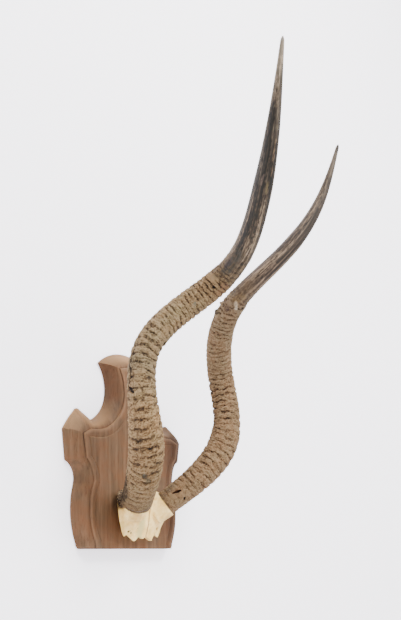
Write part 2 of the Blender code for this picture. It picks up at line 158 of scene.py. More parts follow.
def face_outwards(mesh):
    """Turn every face of a closed mesh outwards."""
    bm = bmesh.new()
    bm.from_mesh(mesh)
    bmesh.ops.recalc_face_normals(bm, faces=bm.faces)
    bm.to_mesh(mesh)
    bm.free()


def store(mesh, name, kind, values):
    """Store one value per vertex as a named attribute."""
    layer = mesh.attributes.new(name, kind, "POINT")
    field = {"FLOAT": "value", "FLOAT_VECTOR": "vector", "FLOAT_COLOR": "color"}[kind]
    layer.data.foreach_set(field, np.asarray(values, dtype=np.float32).ravel())


def settle(obj, name, material=None):
    """Turn an object and its modifiers into a plain mesh under the given name."""
    graph = bpy.context.evaluated_depsgraph_get()
    mesh = bpy.data.meshes.new_from_object(
        obj.evaluated_get(graph), preserve_all_data_layers=True, depsgraph=graph)
    old = obj.data
    bpy.data.objects.remove(obj, do_unlink=True)
    bpy.data.meshes.remove(old)
    if material:
        mesh.materials.clear()
        mesh.materials.append(material)
    mesh.name = name
    made = bpy.data.objects.new(name, mesh)
    bpy.context.scene.collection.objects.link(made)
    return made


def place(obj, node, slot):
    """The piece rides on the one body and stands for its CAD node."""
    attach(obj, "root")
    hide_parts(node)


# ---- the horns' shape -----------------------------------------------------------------

def horn_rows():
    """Rows from base to tip: centres, the section's two axes, shares and lengths."""
    stations = np.array(HORN_PATH)
    last = len(stations) - 1
    even_bend = 4 * np.eye(last + 1) + np.eye(last + 1, k=1) + np.eye(last + 1, k=-1)
    even_bend[0, 0] = even_bend[-1, -1] = 2
    pull = np.zeros_like(stations)
    pull[0], pull[-1] = 3 * (stations[1] - stations[0]), 3 * (stations[-1] - stations[-2])
    pull[1:-1] = 3 * (stations[2:] - stations[:-2])
    pull = np.linalg.solve(even_bend, pull)

    def on_path(shares):
        span = np.clip((shares * last).astype(int), 0, last - 1)
        t = (shares * last - span)[:, None]
        near, far = stations[span], stations[span + 1]
        return (near * (2 * t ** 3 - 3 * t ** 2 + 1) + pull[span] * (t ** 3 - 2 * t ** 2 + t)
                + far * (3 * t ** 2 - 2 * t ** 3) + pull[span + 1] * (t ** 3 - t ** 2))

    fine = np.linspace(0, 1, FINE_STEPS * last + 1)
    steps = np.linalg.norm(np.diff(on_path(fine), axis=0), axis=1)
    length = np.concatenate([[0], np.cumsum(steps)])
    ring_end = np.interp(RINGED_ROWS_END, fine, length)
    lengths = np.concatenate([np.arange(0, ring_end, RINGED_ROW),
                              np.arange(ring_end, length[-1], SMOOTH_ROW)])
    shares = np.interp(lengths, length, fine)
    centres = on_path(shares)
    wide, axes = WIDE_AXIS.copy(), []
    for i in range(len(centres)):
        ahead = Vector(centres[min(i + 1, len(centres) - 1)] - centres[max(i - 1, 0)])
        heading = ahead.normalized()
        wide = (wide - heading * wide.dot(heading)).normalized()
        axes.append((*wide, *heading.cross(wide), *heading))
    return centres, np.array(axes), shares, lengths


def to_right(points):
    """Where points of the horn at -X lie on the horn at +X, the smaller and leaning one."""
    base, flip = np.array(HORN_PATH[0]), np.array((-1.0, 1.0, 1.0))
    turn = np.array(RIGHT_HORN_TURN.to_matrix())
    moved = ((points - base) * flip) @ turn.T * RIGHT_HORN_SCALE
    return moved + base * flip + np.array(RIGHT_HORN_SHIFT)


def brush(marks, shares, angles, lengths, radii):
    """How much each vertex lies under a mark: a line of (share, degrees) and a half width."""
    points, half_width = marks
    reach = np.interp([p[0] for p in points], shares[::HORN_SIDES], lengths[::HORN_SIDES])
    best = np.full(len(shares), 1e9)
    spots = list(zip(reach, [math.radians(p[1]) for p in points]))
    for (s0, a0), (s1, a1) in zip(spots, spots[1:] or spots):
        along = lengths - s0
        around = (np.mod(angles - a0 + math.pi, 2 * math.pi) - math.pi) * radii
        dx, dy = s1 - s0, (a1 - a0) * radii
        square = dx * dx + dy * dy
        t = np.clip((along * dx + around * dy) / np.maximum(square, 1e-12), 0, 1)
        best = np.minimum(best, np.hypot(along - t * dx, around - t * dy))
    return smooth_step((MARK_END - best / (half_width * MM)) / (MARK_END - MARK_FULL))


def horn_blank(scars, stains, bark, right=False):
    """A smooth horn that carries, per vertex, its own straightened place and its marks."""
    centres, axes, shares, lengths = horn_rows()
    start = 0.0 if right else LEFT_HORN_TRIM
    keep = lengths >= start
    centres, axes, shares, lengths = centres[keep], axes[keep], shares[keep], lengths[keep]
    radius = np.interp(shares, *np.array(HORN_RADIUS).T)
    to_point = lengths[-1] + TIP_ROUNDING - lengths
    radius = radius * np.sqrt(np.clip(to_point / (2.5 * TIP_ROUNDING), 0, 1))
    a = radius * table_curve(HORN_WIDE, shares)
    b = radius * table_curve(HORN_DEEP, shares)
    turn = np.linspace(0, 2 * math.pi, HORN_SIDES, endpoint=False)
    cos, sin = np.cos(turn)[None, :, None], np.sin(turn)[None, :, None]
    wide, deep = axes[:, None, 0:3], axes[:, None, 3:6]
    grid = centres[:, None, :] + wide * a[:, None, None] * cos + deep * b[:, None, None] * sin
    tip = centres[-1] + axes[-1, 6:9] * TIP_ROUNDING
    verts = np.concatenate([grid.reshape(-1, 3), [centres[0], tip]])
    if right:
        verts = to_right(verts)
    verts = verts + np.array(LIFT)

    rows, n = len(centres), HORN_SIDES
    faces = [(r * n + i, r * n + (i + 1) % n, (r + 1) * n + (i + 1) % n, (r + 1) * n + i)
             for r in range(rows - 1) for i in range(n)]
    faces += [(rows * n, (i + 1) % n, i) for i in range(n)]
    top = (rows - 1) * n
    faces += [(top + i, top + (i + 1) % n, rows * n + 1) for i in range(n)]
    if right:
        faces = [face[::-1] for face in faces]

    each_share = np.repeat(shares, n)
    each_length = np.repeat(lengths, n)
    each_angle = np.tile(turn, rows)
    each_radius = np.repeat(radius, n)
    rings = np.cumsum(np.gradient(lengths) / table_curve(RING_SPACING, shares))
    grown = np.stack([np.repeat(a, n) * np.cos(each_angle),
                      np.repeat(b, n) * np.sin(each_angle), each_length], axis=1)
    around = np.stack([np.cos(each_angle), np.sin(each_angle), each_share], axis=1)
    scar = np.zeros(len(each_share))
    where = (each_share, each_angle, each_length, each_radius)
    for points, half_width, depth in scars:
        part = brush((points, half_width), *where) * depth * MM
        scar = np.where(np.abs(part) > np.abs(scar), part, scar)
    stain = np.zeros((len(each_share), 4))
    for points, half_width, colour, strength in stains:
        part = (brush((points, half_width), *where) * strength)[:, None]
        stain[:, :3] = stain[:, :3] * (1 - part) + np.array(linear(colour)[:3]) * part
        stain[:, 3:] = stain[:, 3:] * (1 - part) + part

    def with_ends(values):
        values = np.asarray(values)
        return np.concatenate([values, values[:1], values[-1:]])

    blank = mesh_object("horn_blank", verts, faces, None)
    stain[:, :3] /= np.maximum(stain[:, 3:], 1e-4)
    store(blank.data, "grown", "FLOAT_VECTOR", with_ends(grown))
    store(blank.data, "around", "FLOAT_VECTOR", with_ends(around))
    store(blank.data, "ring_count", "FLOAT", with_ends(np.repeat(rings, n)))
    store(blank.data, "bark", "FLOAT", with_ends(table_curve(bark, each_share)))
    store(blank.data, "scar", "FLOAT", with_ends(scar))
    store(blank.data, "stain", "FLOAT_COLOR", with_ends(stain))
    return blank


def horn_growth_tree():
    """Geometry nodes that grow rings, pits and fibres on a smooth horn.

    Relief goes inwards from the smooth surface but for a little of each crest. The tree leaves how
    dark each place is painted by its depth, for dirt and painted shade in its pits, as
    "dirt_and_shade", and how far the ringed sheath covers it as "ringed".
    """
    tree = bpy.data.node_groups.new("horn_growth", "GeometryNodeTree")
    sockets = {}
    tree.interface.new_socket("Horn", in_out="INPUT", socket_type="NodeSocketGeometry")
    for name in ("Ring Depth", "Ring Dirt And Shade", "Pit Depth", "Pit Size", "Fibre Depth",
                 "Collar Height", "Ringed Share", "Seed"):
        socket = tree.interface.new_socket(name, in_out="INPUT", socket_type="NodeSocketFloat")
        sockets[name] = socket.identifier
    surface = tree.interface.new_socket("Surface", in_out="INPUT",
                                        socket_type="NodeSocketMaterial")
    sockets["Surface"] = surface.identifier
    tree.interface.new_socket("Horn", in_out="OUTPUT", socket_type="NodeSocketGeometry")
    given = add(tree, "NodeGroupInput").outputs

    attribute, maths = "GeometryNodeInputNamedAttribute", "ShaderNodeMath"
    limits = "ShaderNodeMapRange"
    plus, minus, times = ({"operation": word} for word in ("ADD", "SUBTRACT", "MULTIPLY"))
    times_plus = {"operation": "MULTIPLY_ADD"}
    soft = {"interpolation_type": "SMOOTHSTEP"}
    grown = add(tree, attribute, {"data_type": "FLOAT_VECTOR"}, {"Name": "grown"})
    around = add(tree, attribute, {"data_type": "FLOAT_VECTOR"}, {"Name": "around"})
    rings = add(tree, attribute, {"data_type": "FLOAT"}, {"Name": "ring_count"})
    scar = add(tree, attribute, {"data_type": "FLOAT"}, {"Name": "scar"})
    bark = add(tree, attribute, {"data_type": "FLOAT"}, {"Name": "bark"})
    share = add(tree, "ShaderNodeSeparateXYZ", None, {0: around}).outputs["Z"]

    # Unevenness in the straightened horn's own metres, each with the seed as its fourth axis:
    # its size in mm, its stretch, its detail and its roughness.
    uneven = {}
    for name, mm, stretch, detail, roughness in (
            ("wander", 38, (1, 1, 1), 1.0, 0.55), ("jitter", 9, (1, 1, 1.3), 2.0, 0.55),
            ("lump", 9, (0.7, 0.7, 1.3), 2.0, 0.55), ("gap", 15, (1, 1, 0.9), 1.0, 0.55),
            ("wrinkle", 2.9, (0.30, 0.30, 1.3), 2.5, 0.6), ("grit", 2.0, (0.7, 0.7, 1.2), 2.0, 0.6),
            ("flute", 3.2, (1, 1, 0.06), 2.0, 0.55)):
        place_in = add(tree, "ShaderNodeVectorMath", times, {0: grown, 1: stretch})
        uneven[name] = add(tree, "ShaderNodeTexNoise", {"noise_dimensions": "4D"},
                           {"Vector": place_in, "W": given["Seed"], "Scale": 1 / (mm * MM),
                            "Detail": detail, "Roughness": roughness})

    # The ringed sheath ends in a ragged edge, and plain bark runs on a little way past it.
    ragged = add(tree, maths, times_plus, {0: uneven["jitter"], 1: 0.11, 2: -0.055})
    edge = add(tree, maths, plus, {0: share, 1: ragged})
    edge = add(tree, maths, minus, {0: edge, 1: given["Ringed Share"]})
    ringed = add(tree, limits, soft, {"Value": edge, "From Min": -0.030, "From Max": 0.018,
                                      "To Min": 1.0, "To Max": 0.0})
    barked = add(tree, limits, soft, {"Value": edge, "From Min": 0.010, "From Max": 0.090,
                                      "To Min": 1.0, "To Max": 0.0})
    collar_foot = add(tree, limits, soft, {"Value": edge, "From Min": -0.050,
                                           "From Max": -0.012})
    collar_top = add(tree, limits, soft, {"Value": edge, "From Min": -0.004, "From Max": 0.008,
                                          "To Min": 1.0, "To Max": 0.0})
    collar = add(tree, maths, times, {0: collar_foot, 1: collar_top})
    grain_only = add(tree, limits, soft, {"Value": share, "From Min": 0.030,
                                          "From Max": 0.075, "To Min": 0.55, "To Max": 1.0})

    # Rings: their count wanders round the horn, and valleys are cut between rounded crests.
    wave = add(tree, maths, times_plus, {0: uneven["wander"], 1: 1.5, 2: rings})
    wave = add(tree, maths, times_plus, {0: uneven["jitter"], 1: 0.9, 2: wave})
    wave = add(tree, maths, times, {0: wave, 1: 2 * math.pi})
    wave = add(tree, maths, {"operation": "COSINE"}, {0: wave})
    valley = add(tree, limits, soft, {"Value": wave, "From Min": -0.10, "From Max": -0.95})
    broken = add(tree, limits, soft, {"Value": uneven["gap"], "From Min": 0.36,
                                      "From Max": 0.60, "To Min": 0.25})
    valley = add(tree, maths, times, {0: valley, 1: broken})

    # Pits: short gashes across the horn, thickest in the valleys.
    pit_place = add(tree, "ShaderNodeVectorMath", times, {0: grown, 1: (0.55, 0.55, 1.3)})
    pit_scale = add(tree, maths, {"operation": "DIVIDE"}, {0: 1.0, 1: given["Pit Size"]})
    pit = add(tree, "ShaderNodeTexNoise", {"noise_dimensions": "4D"},
              {"Vector": pit_place, "W": given["Seed"], "Scale": pit_scale, "Detail": 1.5,
               "Roughness": 0.5})
    pit = add(tree, maths, times_plus, {0: valley, 1: 0.10, 2: pit})
    pit = add(tree, maths, times_plus, {0: bark, 1: 0.12, 2: pit})
    pit = add(tree, limits, soft, {"Value": pit, "From Min": 0.62, "From Max": 0.78})

    # Depth: the sheath's rings, pits, lumps and wrinkles, then the shaft's flutes and the scars.
    depth = add(tree, maths, times, {0: valley, 1: given["Ring Depth"]})
    pit_depth = add(tree, maths, times, {0: pit, 1: given["Pit Depth"]})
    depth = add(tree, maths, plus, {0: depth, 1: pit_depth})
    depth = add(tree, maths, times_plus, {0: uneven["lump"], 1: 1.6 * MM, 2: depth})
    depth = add(tree, maths, minus, {0: depth, 1: 1.1 * MM})
    depth = add(tree, maths, times, {0: depth, 1: ringed})
    rough = add(tree, maths, times_plus, {0: uneven["wrinkle"], 1: 4.2 * MM, 2: -3.0 * MM})
    rough = add(tree, maths, times_plus, {0: uneven["grit"], 1: 1.8 * MM, 2: rough})
    rough = add(tree, maths, times, {0: rough, 1: barked})
    depth = add(tree, maths, plus, {0: depth, 1: rough})
    depth = add(tree, maths, times, {0: depth, 1: grain_only})
    flute = add(tree, maths, minus, {0: uneven["flute"], 1: 0.5})
    flute = add(tree, maths, times, {0: flute, 1: given["Fibre Depth"]})
    depth = add(tree, maths, plus, {0: depth, 1: flute})
    bare = add(tree, maths, times_plus, {0: ringed, 1: -0.25 * MM, 2: 0.25 * MM})
    depth = add(tree, maths, plus, {0: depth, 1: bare})
    collar = add(tree, maths, times, {0: collar, 1: given["Collar Height"]})
    depth = add(tree, maths, minus, {0: depth, 1: collar})
    torn = add(tree, maths, times_plus, {0: uneven["grit"], 1: 0.8, 2: 0.6})
    torn = add(tree, maths, times, {0: torn, 1: scar})
    depth = add(tree, maths, plus, {0: depth, 1: torn})

    # Dirt and painted shade: how dark each place is painted, from 0 on a crest to 1 in the deepest
    # pit.
    dirt_and_shade = add(tree, maths, times_plus, {0: valley, 1: given["Ring Dirt And Shade"], 2: -0.12})
    dirt_and_shade = add(tree, maths, times_plus, {0: pit, 1: 0.22, 2: dirt_and_shade})
    dents = add(tree, maths, times_plus, {0: uneven["wrinkle"], 1: 1.3, 2: -0.50})
    dents = add(tree, maths, times_plus, {0: uneven["grit"], 1: 1.2, 2: dents})
    dents = add(tree, maths, minus, {0: dents, 1: 0.50})
    dirt_and_shade = add(tree, maths, plus, {0: dirt_and_shade, 1: dents})
    dirt_and_shade = add(tree, maths, times, {0: dirt_and_shade, 1: grain_only})
    dirt_and_shade = add(tree, maths, times_plus, {0: scar, 1: 400.0, 2: dirt_and_shade})
    half_ringed = add(tree, maths, times, {0: ringed, 1: 0.55})
    sheathed = add(tree, maths, times_plus, {0: barked, 1: 0.45, 2: half_ringed})

    outwards = add(tree, "GeometryNodeInputNormal")
    inwards = add(tree, maths, times, {0: depth, 1: -1.0})
    push = add(tree, "ShaderNodeVectorMath", {"operation": "SCALE"},
               {0: outwards, "Scale": inwards})
    moved = add(tree, "GeometryNodeSetPosition", None,
                {"Geometry": given["Horn"], "Offset": push.outputs[0]})
    kept = "GeometryNodeStoreNamedAttribute"
    moved = add(tree, kept, {"data_type": "FLOAT"},
                {"Geometry": moved, "Name": "dirt_and_shade", "Value": dirt_and_shade})
    moved = add(tree, kept, {"data_type": "FLOAT"},
                {"Geometry": moved, "Name": "ringed", "Value": sheathed})
    moved = add(tree, "GeometryNodeRealizeInstances", None, {"Geometry": moved})
    moved = add(tree, "GeometryNodeSetMaterial", None,
                {"Geometry": moved, "Material": given["Surface"]})
    add(tree, "NodeGroupOutput", None, {"Horn": moved})
    return tree, sockets


def grow_horn(name, tree, sockets, blank, sizes, material, slot):
    """Run the growth tree on a smooth horn, with its sizes, and keep the plain mesh."""
    growth = blank.modifiers.new("growth", "NODES")
    growth.node_group = tree
    for label, value in sizes.items():
        growth[sockets[label]] = value
    growth[sockets["Surface"]] = material
    horn = settle(blank, name)
    place(horn, name, slot)
    return horn


# ---- horn materials ---------------------------------------------------------------

def weathered_horn(name, look):
    """Keratin, weathered for years on a wall and never polished.

    The eye gets a matte, dust-covered, bark-like sheath whose pits hold dark dirt and painted
    shade, then a shaft that wear has made slightly glossier, with dark streaks along its fibres,
    that pales to a dry tip.
    """
    made, tree, shader = new_material(name, {"IOR": 1.54, "Specular IOR Level": 0.2})
    grown = add(tree, "ShaderNodeAttribute", {"attribute_name": "grown"}).outputs["Vector"]
    around = add(tree, "ShaderNodeAttribute", {"attribute_name": "around"}).outputs["Vector"]
    dirt_and_shade = add(tree, "ShaderNodeAttribute", {"attribute_name": "dirt_and_shade"}).outputs["Fac"]
    ringed = add(tree, "ShaderNodeAttribute", {"attribute_name": "ringed"}).outputs["Fac"]
    stain = add(tree, "ShaderNodeAttribute", {"attribute_name": "stain"}).outputs
    share = add(tree, "ShaderNodeSeparateXYZ", None, {0: around}).outputs["Z"]

    # Sheath: dirt and painted shade by depth, tinted in patches about 25 mm across, mottled every 2
    # mm.
    mottle = add(tree, "ShaderNodeTexNoise", None,
                 {"Vector": grown, "Scale": 1 / (2.4 * MM), "Detail": 3.0, "Roughness": 0.7})
    # dirt and painted shade: the mottle and the growth tree's dirt_and_shade darken the pits and
    # valleys
    dirt = add(tree, "ShaderNodeMath", {"operation": "MULTIPLY_ADD"},
               {0: mottle, 1: 1.1, 2: -0.55})
    dirt = add(tree, "ShaderNodeMath", {"operation": "ADD"}, {0: dirt, 1: dirt_and_shade})
    sheath = add(tree, "ShaderNodeValToRGB", None, {"Fac": dirt}, look["sheath"])
    patch = add(tree, "ShaderNodeTexNoise", None,
                {"Vector": grown, "Scale": 1 / (24 * MM), "Detail": 2.0, "Roughness": 0.6})
    patch_tint = add(tree, "ShaderNodeValToRGB", None, {"Fac": patch}, look["patches"])
    sheath = add(tree, "ShaderNodeMixRGB", {"blend_type": "OVERLAY"},
                 {"Fac": 0.42, "Color1": sheath, "Color2": patch_tint})
    by_place = add(tree, "ShaderNodeValToRGB", None, {"Fac": share}, look["along_sheath"])
    sheath = add(tree, "ShaderNodeMixRGB", {"blend_type": "MULTIPLY"},
                 {"Fac": 1.0, "Color1": sheath, "Color2": by_place})

    # Shaft: streaks about 5 mm wide and 110 mm long, with flecks 2 mm wide within them.
    long_grown = add(tree, "ShaderNodeVectorMath", {"operation": "MULTIPLY"},
                     {0: grown, 1: (1, 1, 0.05)})
    streak = add(tree, "ShaderNodeTexNoise", None,
                 {"Vector": long_grown, "Scale": 1 / (5.5 * MM), "Detail": 4.0,
                  "Roughness": 0.5})
    fleck_grown = add(tree, "ShaderNodeVectorMath", {"operation": "MULTIPLY"},
                      {0: grown, 1: (1, 1, 0.22)})
    fleck = add(tree, "ShaderNodeTexNoise", None,
                {"Vector": fleck_grown, "Scale": 1 / (2.2 * MM), "Detail": 3.0,
                 "Roughness": 0.65})
    streak_mix = add(tree, "ShaderNodeMath", {"operation": "MULTIPLY_ADD"},
                     {0: fleck, 1: 0.8, 2: -0.40})
    streak_mix = add(tree, "ShaderNodeMath", {"operation": "ADD"}, {0: streak_mix, 1: streak})
    shaft = add(tree, "ShaderNodeValToRGB", None, {"Fac": streak_mix}, look["shaft"])
    by_place = add(tree, "ShaderNodeValToRGB", None, {"Fac": share}, look["along_shaft"])
    shaft = add(tree, "ShaderNodeMixRGB", {"blend_type": "MULTIPLY"},
                {"Fac": 1.0, "Color1": shaft, "Color2": by_place})
    dry = add(tree, "ShaderNodeMapRange", {"interpolation_type": "SMOOTHSTEP"},
              {"Value": share, "From Min": 0.92, "From Max": 0.985, "To Max": 0.42})
    shaft = add(tree, "ShaderNodeMixRGB", None,
                {"Fac": dry, "Color1": shaft, "Color2": linear(look["tip"])})

    colour = add(tree, "ShaderNodeMixRGB", None,
                 {"Fac": ringed, "Color1": shaft, "Color2": sheath})

    # Stains: their edges are broken up by the flecks, and their tone by the mottle.
    ragged = add(tree, "ShaderNodeMath", {"operation": "MULTIPLY_ADD"},
                 {0: fleck, 1: 2.2, 2: -1.1})
    ragged = add(tree, "ShaderNodeMath", {"operation": "ADD"}, {0: ragged, 1: stain["Alpha"]})
    shown = add(tree, "ShaderNodeMapRange", {"interpolation_type": "SMOOTHSTEP"},
                {"Value": ragged, "From Min": 0.10, "From Max": 1.0, "To Max": 0.9})
    shown = add(tree, "ShaderNodeMath", {"operation": "MULTIPLY"},
                {0: shown, 1: add(tree, "ShaderNodeMapRange", None,
                                  {"Value": stain["Alpha"], "From Max": 0.35})})
    shade = add(tree, "ShaderNodeMapRange", None,
                {"Value": mottle, "From Min": 0.3, "From Max": 0.7, "To Min": 0.65,
                 "To Max": 1.25})
    stain_colour = add(tree, "ShaderNodeMixRGB", {"blend_type": "MULTIPLY"},
                       {"Fac": 1.0, "Color1": stain["Color"], "Color2": shade})
    colour = add(tree, "ShaderNodeMixRGB", None,
                 {"Fac": shown, "Color1": colour, "Color2": stain_colour})
    tree.links.new(colour.outputs[0], shader.inputs["Base Color"])

    gloss = add(tree, "ShaderNodeMapRange", None,
                {"Value": ringed, "To Min": 0.52, "To Max": 0.82})
    gloss = add(tree, "ShaderNodeMath", {"operation": "MULTIPLY_ADD"},
                {0: fleck, 1: 0.16, 2: gloss})
    tree.links.new(gloss.outputs[0], shader.inputs["Roughness"])
    fibre = add(tree, "ShaderNodeMath", {"operation": "MULTIPLY_ADD"},
                {0: mottle, 1: 0.6, 2: streak_mix})
    bump = add(tree, "ShaderNodeBump", None,
               {"Strength": 0.5, "Distance": 0.4 * MM, "Height": fibre})
    tree.links.new(bump.outputs[0], shader.inputs["Normal"])
    return made


NEAR_LOOK = {
    "sheath": [(0.0, "#a68c69"), (0.22, "#876f50"), (0.46, "#5d4932"), (0.72, "#382a1d"),
               (1.0, "#1a130c")],
    "patches": [(0.30, "#777d70"), (0.45, "#808080"), (0.58, "#8b7b6c"), (0.72, "#757b72")],
    "along_sheath": [(0.0, "#a09c96"), (0.07, "#d6d4ce"), (0.22, "#f4efe6"), (0.32, "#d0d6d8"),
                     (0.46, "#e8ecea"), (0.56, "#d8d4ce"), (0.64, "#c4c2bc")],
    "shaft": [(0.30, "#1a1814"), (0.43, "#3c372f"), (0.52, "#6a5d50"), (0.62, "#9a8b7b"),
              (0.76, "#c0b2a0")],
    "along_shaft": [(0.58, "#958f84"), (0.70, "#aea496"), (0.80, "#76736c"), (0.88, "#7e7b74"),
                    (0.93, "#a39d94"), (0.965, "#dcd4c8"), (1.0, "#a09c96")],
    "tip": "#988b78",
}
FAR_LOOK = {
    "sheath": [(0.0, "#947e62"), (0.22, "#79644a"), (0.46, "#574330"), (0.72, "#36271a"),
               (1.0, "#19120c")],
    "patches": [(0.30, "#7b7c70"), (0.45, "#80807c"), (0.58, "#8c7868"), (0.72, "#7a7970")],
    "along_sheath": [(0.0, "#d8d0c6"), (0.08, "#f8f2ea"), (0.24, "#eae2da"), (0.34, "#f2ece6"),
                     (0.46, "#fbfbfb"), (0.58, "#eef0f4"), (0.66, "#e4e2e2")],
    "shaft": [(0.28, "#1f1915"), (0.44, "#3f352d"), (0.56, "#615447"), (0.76, "#8c7a68")],
    "along_shaft": [(0.58, "#bcb4a8"), (0.70, "#ece4dc"), (0.82, "#d4d0ca"), (0.90, "#c2beb8"),
                    (0.96, "#bcb8b0"), (1.0, "#5c5854")],
    "tip": "#6c6154",
}

# What the growth tree is given for each horn, in metres but for the dirt and shade, share and seed.
NEAR_SIZES = {"Ring Depth": 1.6 * MM, "Ring Dirt And Shade": 0.32, "Pit Depth": 1.0 * MM,
              "Pit Size": 1.9 * MM, "Fibre Depth": 0.5 * MM, "Collar Height": 0.5 * MM,
              "Ringed Share": RINGED_SHARE, "Seed": 3.1}
FAR_SIZES = {"Ring Depth": 1.7 * MM, "Ring Dirt And Shade": 0.20, "Pit Depth": 1.1 * MM,
             "Pit Size": 2.1 * MM, "Fibre Depth": 0.5 * MM, "Collar Height": 1.0 * MM,
             "Ringed Share": 0.60, "Seed": 8.4}

# Marks on the horns: a line of (share of the length, degrees round), its half width in mm,
# and a depth in mm (a negative one stands proud), or a colour and its strength.
NEAR_SCARS = [
    ([(0.345, 54), (0.331, 48), (0.322, 40)], 1.2, 1.6),
    ([(0.318, 38), (0.308, 52), (0.296, 54), (0.283, 42)], 1.2, 1.8),
    ([(0.279, 36), (0.270, 52), (0.266, 64)], 1.6, 2.4),
    ([(0.394, 188), (0.378, 194)], 2.6, 4.0),
    ([(0.551, 128)], 1.8, 2.2),
    ([(0.562, 70), (0.566, 110)], 5.0, -1.2),
    ([(0.028, 128)], 1.2, 1.6),
    ([(0.100, 92), (0.094, 118)], 2.0, 1.0),
]
NEAR_STAINS = [
    # darker over the left of the horn's foot, beside the bone
    ([(0.016, 6), (0.040, 28), (0.070, 10)], 12.0, "#21180f", 0.8),
    ([(0.014, 60), (0.014, 160)], 1.2, "#5c5348", 0.7),
    ([(0.105, 96), (0.092, 112)], 4.5, "#4a4b40", 0.5),
    ([(0.140, 78), (0.230, 74)], 7.0, "#3e2f20", 0.40),
    ([(0.279, 40), (0.270, 54), (0.266, 64)], 1.3, "#1b120b", 0.95),
    ([(0.345, 54), (0.331, 48), (0.322, 40), (0.308, 52), (0.296, 54), (0.283, 42)], 1.2,
     "#1d140d", 0.95),
    ([(0.394, 188), (0.378, 194)], 2.0, "#0c0705", 1.2),
    ([(0.493, 134)], 5.0, "#565a4e", 0.5),
    ([(0.551, 128)], 2.2, "#15100b", 1.1),
    ([(0.555, 170), (0.572, 160)], 8.0, "#755239", 0.45),
    ([(0.600, 110), (0.650, 116)], 9.0, "#2f2f2a", 0.55),
    ([(0.610, 96), (0.626, 92)], 4.5, "#2b2229", 0.4),
    ([(0.690, 134), (0.760, 128), (0.900, 122)], 1.7, "#14120c", 0.75),
    ([(0.730, 112), (0.800, 108), (0.870, 108)], 1.3, "#171510", 0.7),
    ([(0.760, 156), (0.850, 150), (0.900, 146)], 1.4, "#17110d", 0.7),
    ([(0.640, 150), (0.700, 158), (0.760, 164)], 1.6, "#8a7864", 0.5),
    ([(0.785, 118), (0.800, 122)], 1.8, "#6f5d52", 0.35),
    ([(0.772, 160), (0.788, 154)], 2.0, "#6f6040", 0.4),
    ([(0.800, 172), (0.856, 168)], 2.0, "#64503c", 0.5),
    ([(0.988, 60), (0.988, 250)], 0.8, "#26231f", 0.8),
    ([(0.993, 60), (1.0, 250)], 2.0, "#6f6b64", 0.7),
    ([(0.880, 196), (0.960, 196)], 3.0, "#2a231d", 0.7),
]
FAR_SCARS = [
    ([(0.024, 208), (0.030, 203), (0.038, 197)], 1.2, 6.0),
    ([(0.030, 204), (0.034, 200)], 1.8, 7.0),
    ([(0.034, 152), (0.036, 158)], 1.4, 3.4),
    ([(0.600, 226), (0.590, 206)], 2.8, -1.8),
    ([(0.596, 166)], 2.6, 4.0),
    ([(0.548, 276), (0.554, 292)], 4.0, -4.0),
    ([(0.575, 296)], 3.4, -3.4),
    ([(0.564, 286)], 1.6, 3.4),
    ([(0.590, 262), (0.588, 244)], 3.0, -1.6),
    ([(0.245, 262), (0.247, 300)], 1.5, 1.8),
    ([(0.268, 266), (0.264, 296)], 1.5, 2.0),
    ([(0.290, 258), (0.293, 296)], 1.4, 2.0),
    ([(0.312, 262), (0.309, 294)], 1.5, 2.0),
    ([(0.335, 258), (0.338, 292)], 1.4, 1.8),
]
FAR_STAINS = [
    ([(0.024, 208), (0.030, 203), (0.038, 197)], 1.3, "#2a1009", 1.2),
    ([(0.030, 204), (0.034, 200)], 2.0, "#1c0a06", 1.2),
    ([(0.024, 214), (0.040, 206)], 3.6, "#5c3a22", 0.5),
    ([(0.034, 152), (0.036, 158)], 1.5, "#170e08", 1.1),
    # painted shade where the horn's foot meets the bone, on its lower side
    ([(0.0, 232), (0.030, 238)], 8.0, "#3c342a", 0.5),
    ([(0.600, 226), (0.590, 206)], 2.6, "#a89a86", 0.8),
    ([(0.596, 166)], 2.4, "#0e0906", 1.2),
    ([(0.552, 280), (0.556, 292)], 4.0, "#231c17", 0.9),
    ([(0.604, 235), (0.618, 215)], 7.0, "#6e5836", 0.5),
    ([(0.575, 240)], 6.0, "#443833", 0.6),
    ([(0.240, 286), (0.345, 286)], 4.0, "#1f1710", 0.8),
    ([(0.380, 290), (0.540, 292)], 3.0, "#2c2219", 0.55),
    ([(0.720, 218), (0.780, 214), (0.860, 216)], 3.0, "#1f1a16", 0.8),
    ([(0.660, 250), (0.740, 254)], 4.0, "#76634f", 0.5),
    ([(0.680, 190), (0.930, 194)], 3.0, "#241d18", 0.75),
    ([(0.985, 200), (1.0, 240)], 3.0, "#241e1a", 0.9),
]


# ---- shield -------------------------------------------------------------------------

EDGE_THICK = 0.003
BEAD_DEPTH = 0.0256
FIELD_DEPTH = 0.0250
STEP = 0.0022               # height of the bead over the slope beside it
SLOPE_FULLNESS = 1.9
SLOPE_SHARES = (0.06, 0.12, 0.20, 0.30, 0.42, 0.56, 0.72, 0.88, 0.97)
RIGHT_EAR_RISE = [(0.0, 0.0), (0.100, 0.0), (0.134, 0.011), (0.182, 0.0), (0.217, -0.009),
                  (0.320, -0.009)]
EAR_INNER_X, EAR_OUTER_X = 0.060, 0.095
